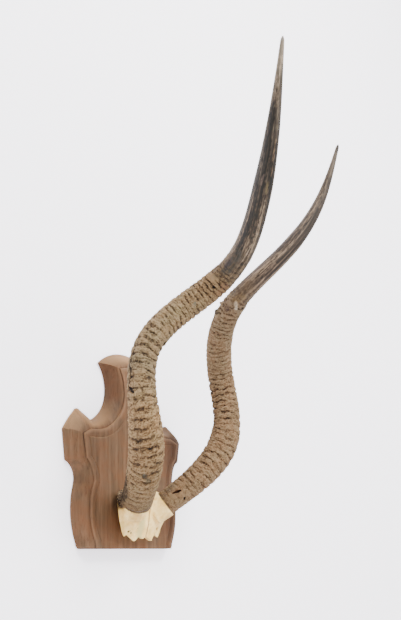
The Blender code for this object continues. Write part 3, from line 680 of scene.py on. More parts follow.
# Three outlines of the right half, from the foot up to the middle of the crown. Each stretch
# is (its end, a point that its arc passes or None for a straight, its steps).
OUTLINE_FOOT = (0.101, 0.0)
OUTLINE = [
    ((0.109, 0.008), (0.1067, 0.0023), 3),
    ((0.1145, 0.098), (0.120, 0.056), 9),
    ((0.1325, 0.134), (0.118, 0.1225), 6),
    ((0.138, 0.182), None, 3),
    ((0.113, 0.2135), (0.1265, 0.1985), 4),
    ((0.104, 0.2160), (0.109, 0.2170), 3),
    ((0.078, 0.2015), None, 4),
    ((0.0425, 0.249), (0.0535, 0.220), 7),
    ((0.058, 0.298), (0.0450, 0.274), 7),
    ((0.0, 0.320), (0.031, 0.3145), 8),
]
SLOPE_FOOT = (0.090, 0.0)
SLOPE_LINE = [
    ((0.0905, 0.008), None, 3),
    ((0.093, 0.102), (0.102, 0.060), 9),
    ((0.109, 0.138), (0.0975, 0.122), 6),
    ((0.115, 0.1745), None, 3),
    ((0.1085, 0.1782), None, 4),
    ((0.1055, 0.1799), None, 3),
    ((0.096, 0.184), None, 4),
    ((0.0255, 0.224), (0.055, 0.1925), 7),
    ((0.031, 0.289), (0.0205, 0.257), 7),
    ((0.0, 0.2935), (0.016, 0.2925), 8),
]
FIELD_FOOT = (0.076, 0.0)
FIELD_LINE = [
    ((0.0765, 0.008), None, 3),
    ((0.080, 0.103), (0.090, 0.061), 9),
    ((0.0975, 0.1405), (0.0845, 0.1235), 6),
    ((0.1015, 0.1705), None, 3),
    ((0.0975, 0.1708), None, 4),
    ((0.0940, 0.1710), None, 3),
    ((0.0885, 0.1710), None, 4),
    ((0.0135, 0.214), (0.044, 0.1820), 7),
    ((0.0105, 0.279), (0.0055, 0.249), 7),
    ((0.0, 0.2800), (0.005, 0.2798), 8),
]
OUTLINE_FINENESS = 4        # steps here for each step of the tables
CARVING_WOBBLE = 0.7 * MM   # how far the carver's lines stray
CARVING_PACE = 28           # strays per metre
STRAY_IN_DEPTH = 0.4        # share of the straying that goes into the depth
CARVING_TRUE_FOOT = 0.012   # the sawn foot stays straight, and the lines stray above it
SHARP_ANGLE = 32            # degrees past which the board's edges are crisp
LINE_SHADE_ELSEWHERE = 0.22      # how much painted shade the carved line keeps away from the pools
SLOPE_SHADE_STRENGTH = 0.62          # how dark the painted shade on the crown's slopes is
# Where painted shade pools, as x, height and reach: in the carved line, and on the crown's slopes.
LINE_SHADE_POOLS = [(0.029, 0.262, 0.034), (0.113, 0.168, 0.018)]
SLOPE_SHADE_POOLS = [(0.049, 0.258, 0.050)]


def arc(start, via, end, steps):
    """Points after start up to end on the circle through three points."""
    a, b, c = Vector(start), Vector(via), Vector(end)
    ab, ac = b - a, c - a
    cross = 2 * (ab.x * ac.y - ab.y * ac.x)
    centre = a + Vector((ac.y * ab.length_squared - ab.y * ac.length_squared,
                         ab.x * ac.length_squared - ac.x * ab.length_squared)) / cross
    radius = a - centre
    sweep = radius.angle_signed(c - centre)
    if sweep * radius.angle_signed(b - centre) < 0:
        sweep -= math.copysign(2 * math.pi, sweep)
    points = []
    for i in range(1, steps + 1):
        arm = radius.copy()
        arm.rotate(Matrix.Rotation(-sweep * i / steps, 2))
        points.append(centre + arm)
    return points


def half_outline(foot, stretches):
    """Points of one half outline, from the foot to the middle of the crown."""
    points = [Vector(foot)]
    for end, via, steps in stretches:
        steps *= OUTLINE_FINENESS
        start = points[-1]
        if via:
            points += arc(start, via, end, steps)
        else:
            points += [start.lerp(Vector(end), i / steps) for i in range(1, steps + 1)]
    return points


def right_ear_rise(point):
    """How much higher a point of the +X ear stands than its twin at -X."""
    reach = min(1.0, max(0.0, (point.x - EAR_INNER_X) / (EAR_OUTER_X - EAR_INNER_X)))
    return reach * float(table_curve(RIGHT_EAR_RISE, np.array([point.y]))[0])


def shield_level(first, second, share, depth, stray=0.0):
    """The whole outline between two half outlines, at a distance from the wall."""
    half = [a.lerp(b, share) for a, b in zip(first, second)]
    right = [Vector((p.x, -depth, p.y + right_ear_rise(p))) for p in half]
    left = [Vector((-p.x, -depth, p.y)) for p in reversed(half[:-1])]
    points = right + left
    for p in points:
        free = min(1.0, p.z / CARVING_TRUE_FOOT)
        where = Vector((p.x, 0, p.z)) * CARVING_PACE
        shift = noise.noise_vector(where) * CARVING_WOBBLE * stray * free
        p.x += shift.x
        p.z += shift.z
        p.y += shift.y * STRAY_IN_DEPTH
    return points


def shade_kept(point, pools, elsewhere):
    """How much painted shade a carved line keeps: most beside the crown and in the ears' corners.
    """
    kept = elsewhere
    for x, z, reach in pools:
        away = math.hypot(abs(point.x) - x, (point.z - z) * 0.5) / reach
        kept = max(kept, 1.0 - away)
    return kept


def build_shield(material):
    """The carved board as one loop of points over another, before its pockets are cut."""
    edge = half_outline(OUTLINE_FOOT, OUTLINE)
    slope = half_outline(SLOPE_FOOT, SLOPE_LINE)
    field = half_outline(FIELD_FOOT, FIELD_LINE)
    slope_top = BEAD_DEPTH - STEP
    # Each level is its loop of points and how much painted shade darkens its carved line, or below
    # 0 how much wear and a painted highlight pale it.
    levels = [(shield_level(edge, slope, 0.004, 0.0), 0.2),
              (shield_level(edge, slope, 0.0, 0.4 * MM), 0.1),
              (shield_level(edge, slope, 0.0, EDGE_THICK - 0.5 * MM), 0.0),
              (shield_level(edge, slope, 0.012, EDGE_THICK + 0.7 * MM), 0.0)]
    for share in SLOPE_SHARES:
        depth = EDGE_THICK + (slope_top - EDGE_THICK) * (1 - (1 - share) ** SLOPE_FULLNESS)
        levels.append((shield_level(edge, slope, share, depth, share), 0.0))
    levels += [
        (shield_level(slope, field, -0.02, slope_top - 0.2 * MM, 1), 0.8),
        (shield_level(slope, field, 0.02, slope_top - 0.1 * MM, 1), 1.0),
        (shield_level(slope, field, 0.07, BEAD_DEPTH - 0.9 * MM, 1), 0.2),
        # below 0: wear and a painted highlight on the bead's crest
        (shield_level(slope, field, 0.16, BEAD_DEPTH - 0.25 * MM, 1), -1.0),
        (shield_level(slope, field, 0.30, BEAD_DEPTH, 1), -0.6),
        (shield_level(slope, field, 0.55, BEAD_DEPTH - 0.1 * MM, 1), 0.0),
        (shield_level(slope, field, 0.78, BEAD_DEPTH - 0.3 * MM, 1), 0.0),
        (shield_level(slope, field, 0.94, BEAD_DEPTH - 1.0 * MM, 1), 0.12),
        (shield_level(slope, field, 1.02, BEAD_DEPTH - 1.5 * MM, 1), 0.2),
        (shield_level(slope, field, 1.12, FIELD_DEPTH - 0.3 * MM, 1), 0.1),
        (shield_level(slope, field, 1.25, FIELD_DEPTH, 1), 0.0),
    ]
    verts, faces, line_and_slope_shade, wear_and_highlight = [], [], [], []
    for loop, dark in levels:
        verts += [p + LIFT for p in loop]
        # painted shade: darker in the carved lines, and on the slopes beside the crown
        line_and_slope_shade += [max(0.0, dark) * shade_kept(p, LINE_SHADE_POOLS, LINE_SHADE_ELSEWHERE)
                   if -p.y > slope_top - 0.5 * MM
                   else SLOPE_SHADE_STRENGTH * shade_kept(p, SLOPE_SHADE_POOLS, 0.0) for p in loop]
        wear_and_highlight += [max(0.0, -dark)] * len(loop)
    n = len(levels[0][0])
    for low in range(len(levels) - 1):
        for i in range(n - 1):
            a, b = low * n + i, (low + 1) * n + i
            faces.append((a, a + 1, b + 1, b))
    faces.append([k * n for k in reversed(range(len(levels)))]
                 + [k * n + n - 1 for k in range(len(levels))])
    faces.append(list(reversed(range(n))))
    top = (len(levels) - 1) * n
    faces.append(list(range(top, top + n)))
    board = mesh_object("shield_blank", verts, faces, material, SHARP_ANGLE)
    store(board.data, "line_and_slope_shade", "FLOAT", line_and_slope_shade)
    store(board.data, "wear_and_highlight", "FLOAT", wear_and_highlight)
    face_outwards(board.data)
    return board


SCREW_PLACES = [(-0.020, 0.042), (0.020, 0.042)]
SCREW_RADIUS = 0.0022
SCREW_HEAD_RADIUS = 0.0045
SCREW_HEAD_HEIGHT = 0.0030
SCREW_SINK = 0.0010
GAP = 0.0003
BORE_END = 0.040
CUTTER_LEAD = 0.002         # a cutter starts this far outside the back
CUTTER_START = 0.0001       # or this far inside it, where another cutter has cut already
POCKET_CORNER = 0.00001
HANGER_CENTRE_Z = 0.252
HANGER_WIDTH = 0.018
HANGER_HEIGHT = 0.046
HANGER_THICK = 0.0015
NAIL_WIDTH, NAIL_HEIGHT = 0.012, 0.026
NAIL_POCKET_DEPTH = 0.008
PLATE_SCREW_OFFSET = 0.0185
PLATE_SCREW_RADIUS = 0.0014
PLATE_SCREW_LENGTH = 0.012
ROUND_SIDES = 32
ROUND_END_STEPS = 16


def turned(profile, x, z):
    """Vertices and faces of a solid turned about a line along Y, from (distance, radius)."""
    verts, faces = [], []
    for y, r in profile:
        verts += [(x + r * math.cos(2 * math.pi * i / ROUND_SIDES), -y,
                   z + r * math.sin(2 * math.pi * i / ROUND_SIDES) + FOOT_Z)
                  for i in range(ROUND_SIDES)]
    n = ROUND_SIDES
    for row in range(len(profile) - 1):
        faces += [(row * n + i, row * n + (i + 1) % n, (row + 1) * n + (i + 1) % n,
                   (row + 1) * n + i) for i in range(n)]
    faces += [tuple(reversed(range(n))), tuple(range((len(profile) - 1) * n, len(verts)))]
    return verts, faces


def round_ended(width, height, near, far):
    """Vertices and faces of an upright round-ended block between two distances."""
    radius, steps = width / 2, ROUND_END_STEPS
    outline = []
    for end, start in ((height / 2 - radius, 0.0), (radius - height / 2, math.pi)):
        outline += [(radius * math.cos(start + math.pi * i / steps),
                     end + radius * math.sin(start + math.pi * i / steps))
                    for i in range(steps + 1)]
    n = len(outline)
    verts = [(x, -y, HANGER_CENTRE_Z + z + FOOT_Z) for y in (near, far) for x, z in outline]
    faces = [(i, (i + 1) % n, n + (i + 1) % n, n + i) for i in range(n)]
    return verts, faces + [tuple(reversed(range(n))), tuple(range(n, 2 * n))]


def cut_out(obj, shapes):
    """Set closed shapes to be cut out of a piece. They are dropped once it is settled."""
    cutters = []
    for i, (verts, faces) in enumerate(shapes):
        cutter = mesh_object(f"cutter_{i}", verts, faces, obj.data.materials[0])
        face_outwards(cutter.data)
        step = obj.modifiers.new(cutter.name, "BOOLEAN")
        step.operation, step.object, step.solver = "DIFFERENCE", cutter, "EXACT"
        cutters.append(cutter)
    return cutters


def drop(objects):
    for obj in objects:
        mesh = obj.data
        bpy.data.objects.remove(obj, do_unlink=True)
        bpy.data.meshes.remove(mesh)


def pocket_shapes():
    """The screw holes, the hanger's pocket and the room for the nail's head behind it."""
    head = SCREW_HEAD_RADIUS + 2 * GAP
    depth = SCREW_SINK + SCREW_HEAD_HEIGHT + GAP
    bore = SCREW_RADIUS + GAP
    shapes = [turned([(-CUTTER_LEAD, head), (depth, head), (depth + POCKET_CORNER, bore),
                      (BORE_END, bore)], x, z) for x, z in SCREW_PLACES]
    shapes.append(round_ended(HANGER_WIDTH + 2 * GAP, HANGER_HEIGHT + 2 * GAP, -CUTTER_LEAD,
                              HANGER_THICK + 2 * GAP))
    shapes.append(round_ended(NAIL_WIDTH, NAIL_HEIGHT, CUTTER_START, NAIL_POCKET_DEPTH))
    for side in (-1, 1):
        shapes.append(turned([(CUTTER_START, PLATE_SCREW_RADIUS + GAP),
                              (PLATE_SCREW_LENGTH + 2 * GAP, PLATE_SCREW_RADIUS + GAP)],
                             0.0, HANGER_CENTRE_Z + side * PLATE_SCREW_OFFSET))
    return shapes


def stained_shield_wood():
    """Close-grained hardwood, sawn, carved by hand and stained red-brown under a thin wax.

    The eye gets upright grain, painted shade in the carved lines and on the crown's slopes, a bead
    crest paled by wear and a painted highlight, dust and a painted top light that pale whatever
    faces up, and painted shade on the +X side. Only the back has kept the raw wood's colour.
    """
    made, tree, shader = new_material("hardwood_carved_stained",
                                      {"IOR": 1.47, "Specular IOR Level": 0.2})
    where = add(tree, "ShaderNodeTexCoord").outputs["Object"]
    # Growth bands about 8 mm apart, pores 1.4 mm wide and 25 mm long, cloudiness by 34 mm.
    upright = add(tree, "ShaderNodeVectorMath", {"operation": "MULTIPLY"},
                  {0: where, 1: (1, 1, 0.055)})
    bands = add(tree, "ShaderNodeTexNoise", None,
                {"Vector": upright, "Scale": 1 / (8 * MM), "Detail": 3.0, "Roughness": 0.55,
                 "Distortion": 0.4})
    pores = add(tree, "ShaderNodeTexNoise", None,
                {"Vector": upright, "Scale": 1 / (1.4 * MM), "Detail": 2.0, "Roughness": 0.5})
    cloud = add(tree, "ShaderNodeTexNoise", None,
                {"Vector": where, "Scale": 1 / (34 * MM), "Detail": 3.0, "Roughness": 0.6})
    wood = add(tree, "ShaderNodeValToRGB", None, {"Fac": bands},
               [(0.26, "#4f3b29"), (0.44, "#5a442f"), (0.58, "#674d37"), (0.76, "#775a42")])
    red = add(tree, "ShaderNodeMapRange", None,
              {"Value": cloud, "From Min": 0.42, "From Max": 0.66, "To Max": 0.55})
    wood = add(tree, "ShaderNodeMixRGB", None,
               {"Fac": red, "Color1": wood, "Color2": linear("#70492f")})
    pore = add(tree, "ShaderNodeMapRange", None,
               {"Value": pores, "From Min": 0.56, "From Max": 0.70, "To Max": 0.38})
    wood = add(tree, "ShaderNodeMixRGB", {"blend_type": "MULTIPLY"},
               {"Fac": pore, "Color1": wood, "Color2": linear("#8a6a58")})

    # Dust and a painted top light pale what faces up, less on the crown's top and on the +X side,
    # which also gets painted shade: a darker tone.
    facing = add(tree, "ShaderNodeSeparateXYZ", None,
                 {0: add(tree, "ShaderNodeNewGeometry").outputs["Normal"]}).outputs
    # dust and painted top light: what faces up is painted paler
    dust_and_top_light = add(tree, "ShaderNodeMapRange", {"interpolation_type": "SMOOTHSTEP"},
                {"Value": facing["Z"], "From Min": 0.15, "From Max": 0.75, "To Max": 0.66})
    across = add(tree, "ShaderNodeSeparateXYZ", None, {0: where}).outputs["X"]
    less_light_on_right = add(tree, "ShaderNodeMapRange", {"interpolation_type": "SMOOTHSTEP"},
                {"Value": across, "From Min": 0.05, "From Max": 0.10, "To Min": 1.0,
                 "To Max": 0.25})
    dust_and_top_light = add(tree, "ShaderNodeMath", {"operation": "MULTIPLY"}, {0: dust_and_top_light, 1: less_light_on_right})
    crown = add(tree, "ShaderNodeMapRange", None,
                {"Value": facing["Z"], "From Min": 0.72, "From Max": 0.95, "To Min": 1.0,
                 "To Max": 0.45})
    dust_and_top_light = add(tree, "ShaderNodeMath", {"operation": "MULTIPLY"}, {0: dust_and_top_light, 1: crown})
    # painted shade: the +X side is painted a darker tone
    painted_shade_on_right = add(tree, "ShaderNodeMapRange", {"interpolation_type": "SMOOTHSTEP"},
                  {"Value": across, "From Min": 0.066, "From Max": 0.100, "To Max": 0.74})
    wood = add(tree, "ShaderNodeMixRGB", None,
               {"Fac": painted_shade_on_right, "Color1": wood, "Color2": linear("#3d281b")})
    wood = add(tree, "ShaderNodeMixRGB", None,
               {"Fac": dust_and_top_light, "Color1": wood, "Color2": linear("#9e7a54")})

    # Wear and a painted highlight pale the bead's crest, painted shade darkens the carved lines and
    # the slopes beside the crown, and the back is raw.
    wear_and_highlight = add(tree, "ShaderNodeAttribute", {"attribute_name": "wear_and_highlight"}).outputs["Fac"]
    # wear and a painted highlight pale the bead's crest
    crest_wear_highlight = add(tree, "ShaderNodeMath", {"operation": "MULTIPLY"},
                 {0: wear_and_highlight, 1: add(tree, "ShaderNodeMapRange", None,
                                  {"Value": cloud, "From Min": 0.35, "From Max": 0.6,
                                   "To Min": 0.15, "To Max": 0.55})})
    wood = add(tree, "ShaderNodeMixRGB", None,
               {"Fac": crest_wear_highlight, "Color1": wood, "Color2": linear("#8a6a50")})
    # painted shade in the carved lines and on the slopes beside the crown
    line_and_slope_shade = add(tree, "ShaderNodeAttribute", {"attribute_name": "line_and_slope_shade"}).outputs["Fac"]
    wood = add(tree, "ShaderNodeMixRGB", None,
               {"Fac": line_and_slope_shade, "Color1": wood, "Color2": linear("#24120a")})
    raw = add(tree, "ShaderNodeMapRange", None,
              {"Value": facing["Y"], "From Min": 0.9, "From Max": 0.99})
    bare_wood = add(tree, "ShaderNodeValToRGB", None, {"Fac": bands},
                    [(0.30, "#6f5338"), (0.48, "#846548"), (0.66, "#977857")])
    bare_wood = add(tree, "ShaderNodeMixRGB", {"blend_type": "MULTIPLY"},
                    {"Fac": pore, "Color1": bare_wood, "Color2": linear("#7a5c44")})
    wood = add(tree, "ShaderNodeMixRGB", None,
               {"Fac": raw, "Color1": wood, "Color2": bare_wood})
    tree.links.new(wood.outputs[0], shader.inputs["Base Color"])
    gloss = add(tree, "ShaderNodeMapRange", None,
                {"Value": cloud, "From Min": 0.3, "From Max": 0.7, "To Min": 0.56,
                 "To Max": 0.76})
    tree.links.new(gloss.outputs[0], shader.inputs["Roughness"])
    relief = add(tree, "ShaderNodeMath", {"operation": "MULTIPLY_ADD"},
                 {0: pores, 1: -0.6, 2: bands})
    bump = add(tree, "ShaderNodeBump", None,
               {"Strength": 0.35, "Distance": 0.5 * MM, "Height": relief})
    tree.links.new(bump.outputs[0], shader.inputs["Normal"])
    return made


# ---- piece of skull -------------------------------------------------------------------

BONE_VOXEL = 0.75 * MM
WELD = 0.00001              # corners closer than this are one
FRONT_FADE = (0.35, 0.5)    # how far round the front's marks reach, and over how much they fade
BROKEN_TOP_Z, BROKEN_FADE = -0.124, 0.007       # the broken edge starts below this height
BROKEN_FRONT_Y, BROKEN_BACK_Y = -0.0415, -0.0253
UNDERCUT = 0.006            # the broken edge rises by this much towards the board
BROKEN_EDGE = [             # x, and how far in mm the broken lower edge is drawn up there
    (-0.0440, -0.6), (-0.0366, 1.0), (-0.0221, -2.2), (-0.0119, 0.6), (-0.0040, -1.0),
    (0.0047, 0.8), (0.0162, -2.2), (0.0285, 1.2), (0.0380, -0.8),
]
SUTURE = [                  # z and x, from the top down
    (-0.082, 0.0022), (-0.098, 0.0008), (-0.1146, 0.0019), (-0.124, 0.0030),
    (-0.1313, 0.0042), (-0.140, 0.0055),
]
SUTURE_LOOP = (0.0013, -0.0905, 0.0042)         # x, z and half height of the small lozenge
SUTURE_SLIMNESS = 0.62      # the lozenge's width as a share of its height
SUTURE_WIDTH, SUTURE_DEPTH = 1.3 * MM, 0.8 * MM
SUTURE_WIGGLE, SUTURE_PACE = 0.7 * MM, 260      # how far it strays, and strays per metre
BONE_PITS = [               # x, z, and radius and depth in mm
    (-0.0341, -0.1249, 1.7, 2.4), (-0.0290, -0.1269, 1.5, 2.0), (0.0291, -0.1195, 2.0, 2.6),
    (-0.0318, -0.1238, 0.8, 1.0), (-0.0190, -0.1200, 0.7, 0.8),
]
# Dried skin is left round the foot of the horn at -X, and a bare splinter beside it: where it
# starts and over how much it fades in, across and upwards, and where the splinter starts.
SKIN_START_X, SKIN_FADE_X = 0.034, 0.010
SKIN_FOOT_Z, SKIN_FADE_Z = -0.0925, 0.004
SPLINTER_X, SPLINTER_FADE = 0.0590, 0.002
GREY_BAND_X = -0.0130       # the middle of a green-grey band beside the suture, partly painted shade


def bone_blank(material):
    """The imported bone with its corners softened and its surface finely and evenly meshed."""
    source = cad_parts["skull_plate"]
    bone = bpy.data.objects.new("bone_blank", source.data.copy())
    bpy.context.scene.collection.objects.link(bone)
    bm = bmesh.new()
    bm.from_mesh(bone.data)
    bmesh.ops.remove_doubles(bm, verts=bm.verts, dist=WELD)
    bm.to_mesh(bone.data)
    bm.free()
    remesh = bone.modifiers.new("even", "REMESH")
    remesh.mode, remesh.voxel_size = "VOXEL", BONE_VOXEL
    soften = bone.modifiers.new("soften", "SMOOTH")
    soften.factor, soften.iterations = 0.5, 1
    return settle(bone, "skull_plate_carved", material)


def per_vertex(mesh, field):
    values = np.empty(len(mesh.vertices) * 3)
    mesh.vertices.foreach_get(field, values)
    return values.reshape(-1, 3)


def from_suture(x, z):
    """How far each place of the front is from the suture or its lozenge."""
    heights, middles = np.array(SUTURE[::-1]).T
    wiggle = np.array([noise.noise(Vector((0, 3, height * SUTURE_PACE))) for height in z])
    off_middle = np.abs(x - np.interp(z, heights, middles) - wiggle * SUTURE_WIGGLE)
    loop_x, loop_z, loop_half = SUTURE_LOOP
    off_loop = np.abs(np.abs(x - loop_x) / SUTURE_SLIMNESS + np.abs(z - loop_z) - loop_half)
    return np.where(np.abs(z - loop_z) < loop_half, off_loop, off_middle)


def build_skull(material):
    """The bone with its broken lower edge, suture, vessel holes and dried skin."""
    bone = bone_blank(material)
    mesh = bone.data
    points, normals = per_vertex(mesh, "co"), per_vertex(mesh, "normal")
    x, z = points[:, 0], points[:, 2].copy()
    front_reach, front_fade = FRONT_FADE
    front = smooth_step((front_reach - normals[:, 1]) / front_fade)

    broken = smooth_step((BROKEN_TOP_Z - z) / BROKEN_FADE)
    behind = (points[:, 1] - BROKEN_FRONT_Y) / (BROKEN_BACK_Y - BROKEN_FRONT_Y)
    points[:, 2] += np.interp(x, *np.array(BROKEN_EDGE).T) * MM * broken
    points[:, 2] += UNDERCUT * smooth_step(behind * 1.3) * broken

    seam = smooth_step(1.25 - from_suture(x, z) / SUTURE_WIDTH) * front
    depth = SUTURE_DEPTH * seam
    pit = np.zeros(len(points))
    for pit_x, pit_z, radius, deep in BONE_PITS:
        here = smooth_step(1.3 - np.hypot(x - pit_x, z - pit_z) / (radius * MM)) * front
        pit = np.maximum(pit, here)
        depth = np.maximum(depth, here * deep * MM)
    uneven = np.array([noise.fractal(Vector(p) * 55, 1.0, 2.0, 3) for p in points])
    depth += (uneven * 0.55 * MM + 0.2 * MM) * front
    skin = smooth_step((-x - SKIN_START_X) / SKIN_FADE_X)
    skin *= smooth_step((z - SKIN_FOOT_Z) / SKIN_FADE_Z)
    skin *= 1 - smooth_step((-x - SPLINTER_X) / SPLINTER_FADE)
    shreds = np.array([noise.fractal(Vector(p) * 190, 1.0, 2.0, 3) for p in points])
    depth += (shreds * 1.5 * MM + 0.9 * MM) * skin

    points -= normals * depth[:, None]
    mesh.vertices.foreach_set("co", points.ravel())
    mesh.shade_smooth()
    store(mesh, "seam", "FLOAT", seam)
    store(mesh, "pit", "FLOAT", pit)
    store(mesh, "skin", "FLOAT", skin)
    return bone


def dry_skull_bone():
    """Skull bone, boiled clean and dry, never varnished.

    The eye gets a chalky cream surface with faint yellow staining and a green-grey band beside the
    suture that is partly painted shade, brown dirt in the suture, black painted shade in the small
    vessel holes, and painted shade on faces that look down.
    """
    made, tree, shader = new_material("bone_cleaned_dry",
                                      {"IOR": 1.5, "Specular IOR Level": 0.2})
    where = add(tree, "ShaderNodeTexCoord").outputs["Object"]
    cloud = add(tree, "ShaderNodeTexNoise", None,
                {"Vector": where, "Scale": 1 / (16 * MM), "Detail": 4.0, "Roughness": 0.6})
    upright = add(tree, "ShaderNodeVectorMath", {"operation": "MULTIPLY"},
                  {0: where, 1: (1, 1, 0.2)})
    fibre = add(tree, "ShaderNodeTexNoise", None,
                {"Vector": upright, "Scale": 1 / (2.2 * MM), "Detail": 3.0, "Roughness": 0.6})
    bone = add(tree, "ShaderNodeValToRGB", None, {"Fac": cloud},
               [(0.30, "#cca252"), (0.46, "#e6c074"), (0.60, "#f5d590"), (0.75, "#fce4aa")])
    streaks = add(tree, "ShaderNodeMapRange", None,
                  {"Value": fibre, "From Min": 0.5, "From Max": 0.72, "To Max": 0.35})
    bone = add(tree, "ShaderNodeMixRGB", None,
               {"Fac": streaks, "Color1": bone, "Color2": linear("#c9ad70")})
    # A green-grey band, partly painted shade of a shallow groove, runs down beside the suture, on
    # its -X side.
    across = add(tree, "ShaderNodeSeparateXYZ", None, {0: where}).outputs["X"]
    band = add(tree, "ShaderNodeMath", {"operation": "ADD"}, {0: across, 1: -GREY_BAND_X})
    band = add(tree, "ShaderNodeMath", {"operation": "ABSOLUTE"}, {0: band})
    band = add(tree, "ShaderNodeMapRange", {"interpolation_type": "SMOOTHSTEP"},
               {"Value": band, "From Min": 0.002, "From Max": 0.0095, "To Min": 0.75,
                "To Max": 0.0})
    bone = add(tree, "ShaderNodeMixRGB", None,
               {"Fac": band, "Color1": bone, "Color2": linear("#bcb079")})
    seam = add(tree, "ShaderNodeAttribute", {"attribute_name": "seam"}).outputs["Fac"]
    bone = add(tree, "ShaderNodeMixRGB", None,
               {"Fac": seam, "Color1": bone, "Color2": linear("#8f6236")})
    skin = add(tree, "ShaderNodeAttribute", {"attribute_name": "skin"}).outputs["Fac"]
    shred = add(tree, "ShaderNodeTexNoise", None,
                {"Vector": where, "Scale": 1 / (2.5 * MM), "Detail": 3.0, "Roughness": 0.6})
    dried = add(tree, "ShaderNodeValToRGB", None, {"Fac": shred},
                [(0.38, "#261b11"), (0.50, "#453423"), (0.60, "#6f5a3d"), (0.72, "#9a8462")])
    bone = add(tree, "ShaderNodeMixRGB", None, {"Fac": skin, "Color1": bone, "Color2": dried})
    # painted shade: faces that look down are painted darker brown
    facing = add(tree, "ShaderNodeSeparateXYZ", None,
                 {0: add(tree, "ShaderNodeNewGeometry").outputs["Normal"]}).outputs["Z"]
    under = add(tree, "ShaderNodeMapRange", {"interpolation_type": "SMOOTHSTEP"},
                {"Value": facing, "From Min": -0.60, "From Max": -0.92, "To Max": 0.5})
    bone = add(tree, "ShaderNodeMixRGB", None,
               {"Fac": under, "Color1": bone, "Color2": linear("#80603a")})
    # painted shade: the small vessel holes are painted nearly black
    pit = add(tree, "ShaderNodeAttribute", {"attribute_name": "pit"}).outputs["Fac"]
    bone = add(tree, "ShaderNodeMixRGB", None,
               {"Fac": pit, "Color1": bone, "Color2": linear("#35220f")})
    tree.links.new(bone.outputs[0], shader.inputs["Base Color"])
    gloss = add(tree, "ShaderNodeMapRange", None,
                {"Value": cloud, "From Min": 0.3, "From Max": 0.7, "To Min": 0.5,
                 "To Max": 0.7})
    tree.links.new(gloss.outputs[0], shader.inputs["Roughness"])
    bump = add(tree, "ShaderNodeBump", None,
               {"Strength": 0.4, "Distance": 0.3 * MM, "Height": fibre})
    tree.links.new(bump.outputs[0], shader.inputs["Normal"])
    return made


# ---- fixings ----------------------------------------------------------------------------

def zinc_plated(name, tone, scratch_mm):
    """Stamped or rolled steel with dull zinc plating.

    The eye gets a soft metal sheen, grey and faintly yellow, brushed one way.
    """
    made, tree, shader = new_material(name, {"Metallic": 1.0})
    where = add(tree, "ShaderNodeTexCoord").outputs["Object"]
    along = add(tree, "ShaderNodeVectorMath", {"operation": "MULTIPLY"},
                {0: where, 1: (1, 1, 0.08)})
    brushed = add(tree, "ShaderNodeTexNoise", None,
                  {"Vector": along, "Scale": 1 / (scratch_mm * MM), "Detail": 3.0})
    dull = add(tree, "ShaderNodeTexNoise", None,
               {"Vector": where, "Scale": 1 / (5 * MM), "Detail": 3.0})
    colour = add(tree, "ShaderNodeValToRGB", None, {"Fac": dull}, tone)
    tree.links.new(colour.outputs[0], shader.inputs["Base Color"])
    gloss = add(tree, "ShaderNodeMapRange", None,
                {"Value": brushed, "From Min": 0.3, "From Max": 0.7, "To Min": 0.28,
                 "To Max": 0.5})
    tree.links.new(gloss.outputs[0], shader.inputs["Roughness"])
    bump = add(tree, "ShaderNodeBump", None,
               {"Strength": 0.15, "Distance": 0.1 * MM, "Height": brushed})
    tree.links.new(bump.outputs[0], shader.inputs["Normal"])
    return made


# ---- room, light and camera -----------------------------------------------------------

WALL_Y = 0.0012
WALL_GLOW = 1.4
FLOOR_Z = -0.95
WALL_HALF_WIDTH, WALL_TOP, FLOOR_HALF = 3, 3, 4
KEY_PLACE, KEY_AIM, KEY_SIZE, KEY_POWER = (-0.2, -2.2, 2.0), (0.0, -0.15, 0.1), 1.3, 190.0
FILL_PLACE, FILL_SIZE, FILL_POWER = (1.8, -2.0, 0.9), 1.2, 40.0
SKY_STRENGTH = 1.0


def build_room():
    """A pale floor, and a pale wall that shows only from the front.

    The eye gets an even, nearly white ground behind the trophy, with a faint soft shadow.
    """
    wall_paint, tree, shader = new_material("emulsion_rolled_wall", {"Roughness": 0.9})
    shader.inputs["Base Color"].default_value = linear("#f4f2f4")
    shader.inputs["Emission Color"].default_value = linear("#f6f3ff")
    shader.inputs["Emission Strength"].default_value = WALL_GLOW
    where = add(tree, "ShaderNodeTexCoord").outputs["Object"]
    nap = add(tree, "ShaderNodeTexNoise", None, {"Vector": where, "Scale": 1 / (6 * MM)})
    bump = add(tree, "ShaderNodeBump", None,
               {"Strength": 0.02, "Distance": 0.2 * MM, "Height": nap})
    tree.links.new(bump.outputs[0], shader.inputs["Normal"])
    clear = add(tree, "ShaderNodeBsdfTransparent")
    behind = add(tree, "ShaderNodeNewGeometry").outputs["Backfacing"]
    either = add(tree, "ShaderNodeMixShader", None,
                 {0: behind, 1: shader, 2: clear})
    tree.links.new(either.outputs[0], tree.nodes["Material Output"].inputs["Surface"])
    wide = WALL_HALF_WIDTH
    wall = mesh_object("wall", [(-wide, WALL_Y, FLOOR_Z), (wide, WALL_Y, FLOOR_Z),
                                (wide, WALL_Y, WALL_TOP), (-wide, WALL_Y, WALL_TOP)],
                       [(0, 1, 2, 3)], wall_paint)
    wall.visible_shadow = False
    floor_paint, tree, shader = new_material("screed_sealed_floor", {"Roughness": 0.6})
    shader.inputs["Base Color"].default_value = linear("#e9e7e5")
    half = FLOOR_HALF
    floor = mesh_object("floor", [(-half, -half, FLOOR_Z), (half, -half, FLOOR_Z),
                                  (half, half, FLOOR_Z), (-half, half, FLOOR_Z)],
                        [(0, 1, 2, 3)], floor_paint)


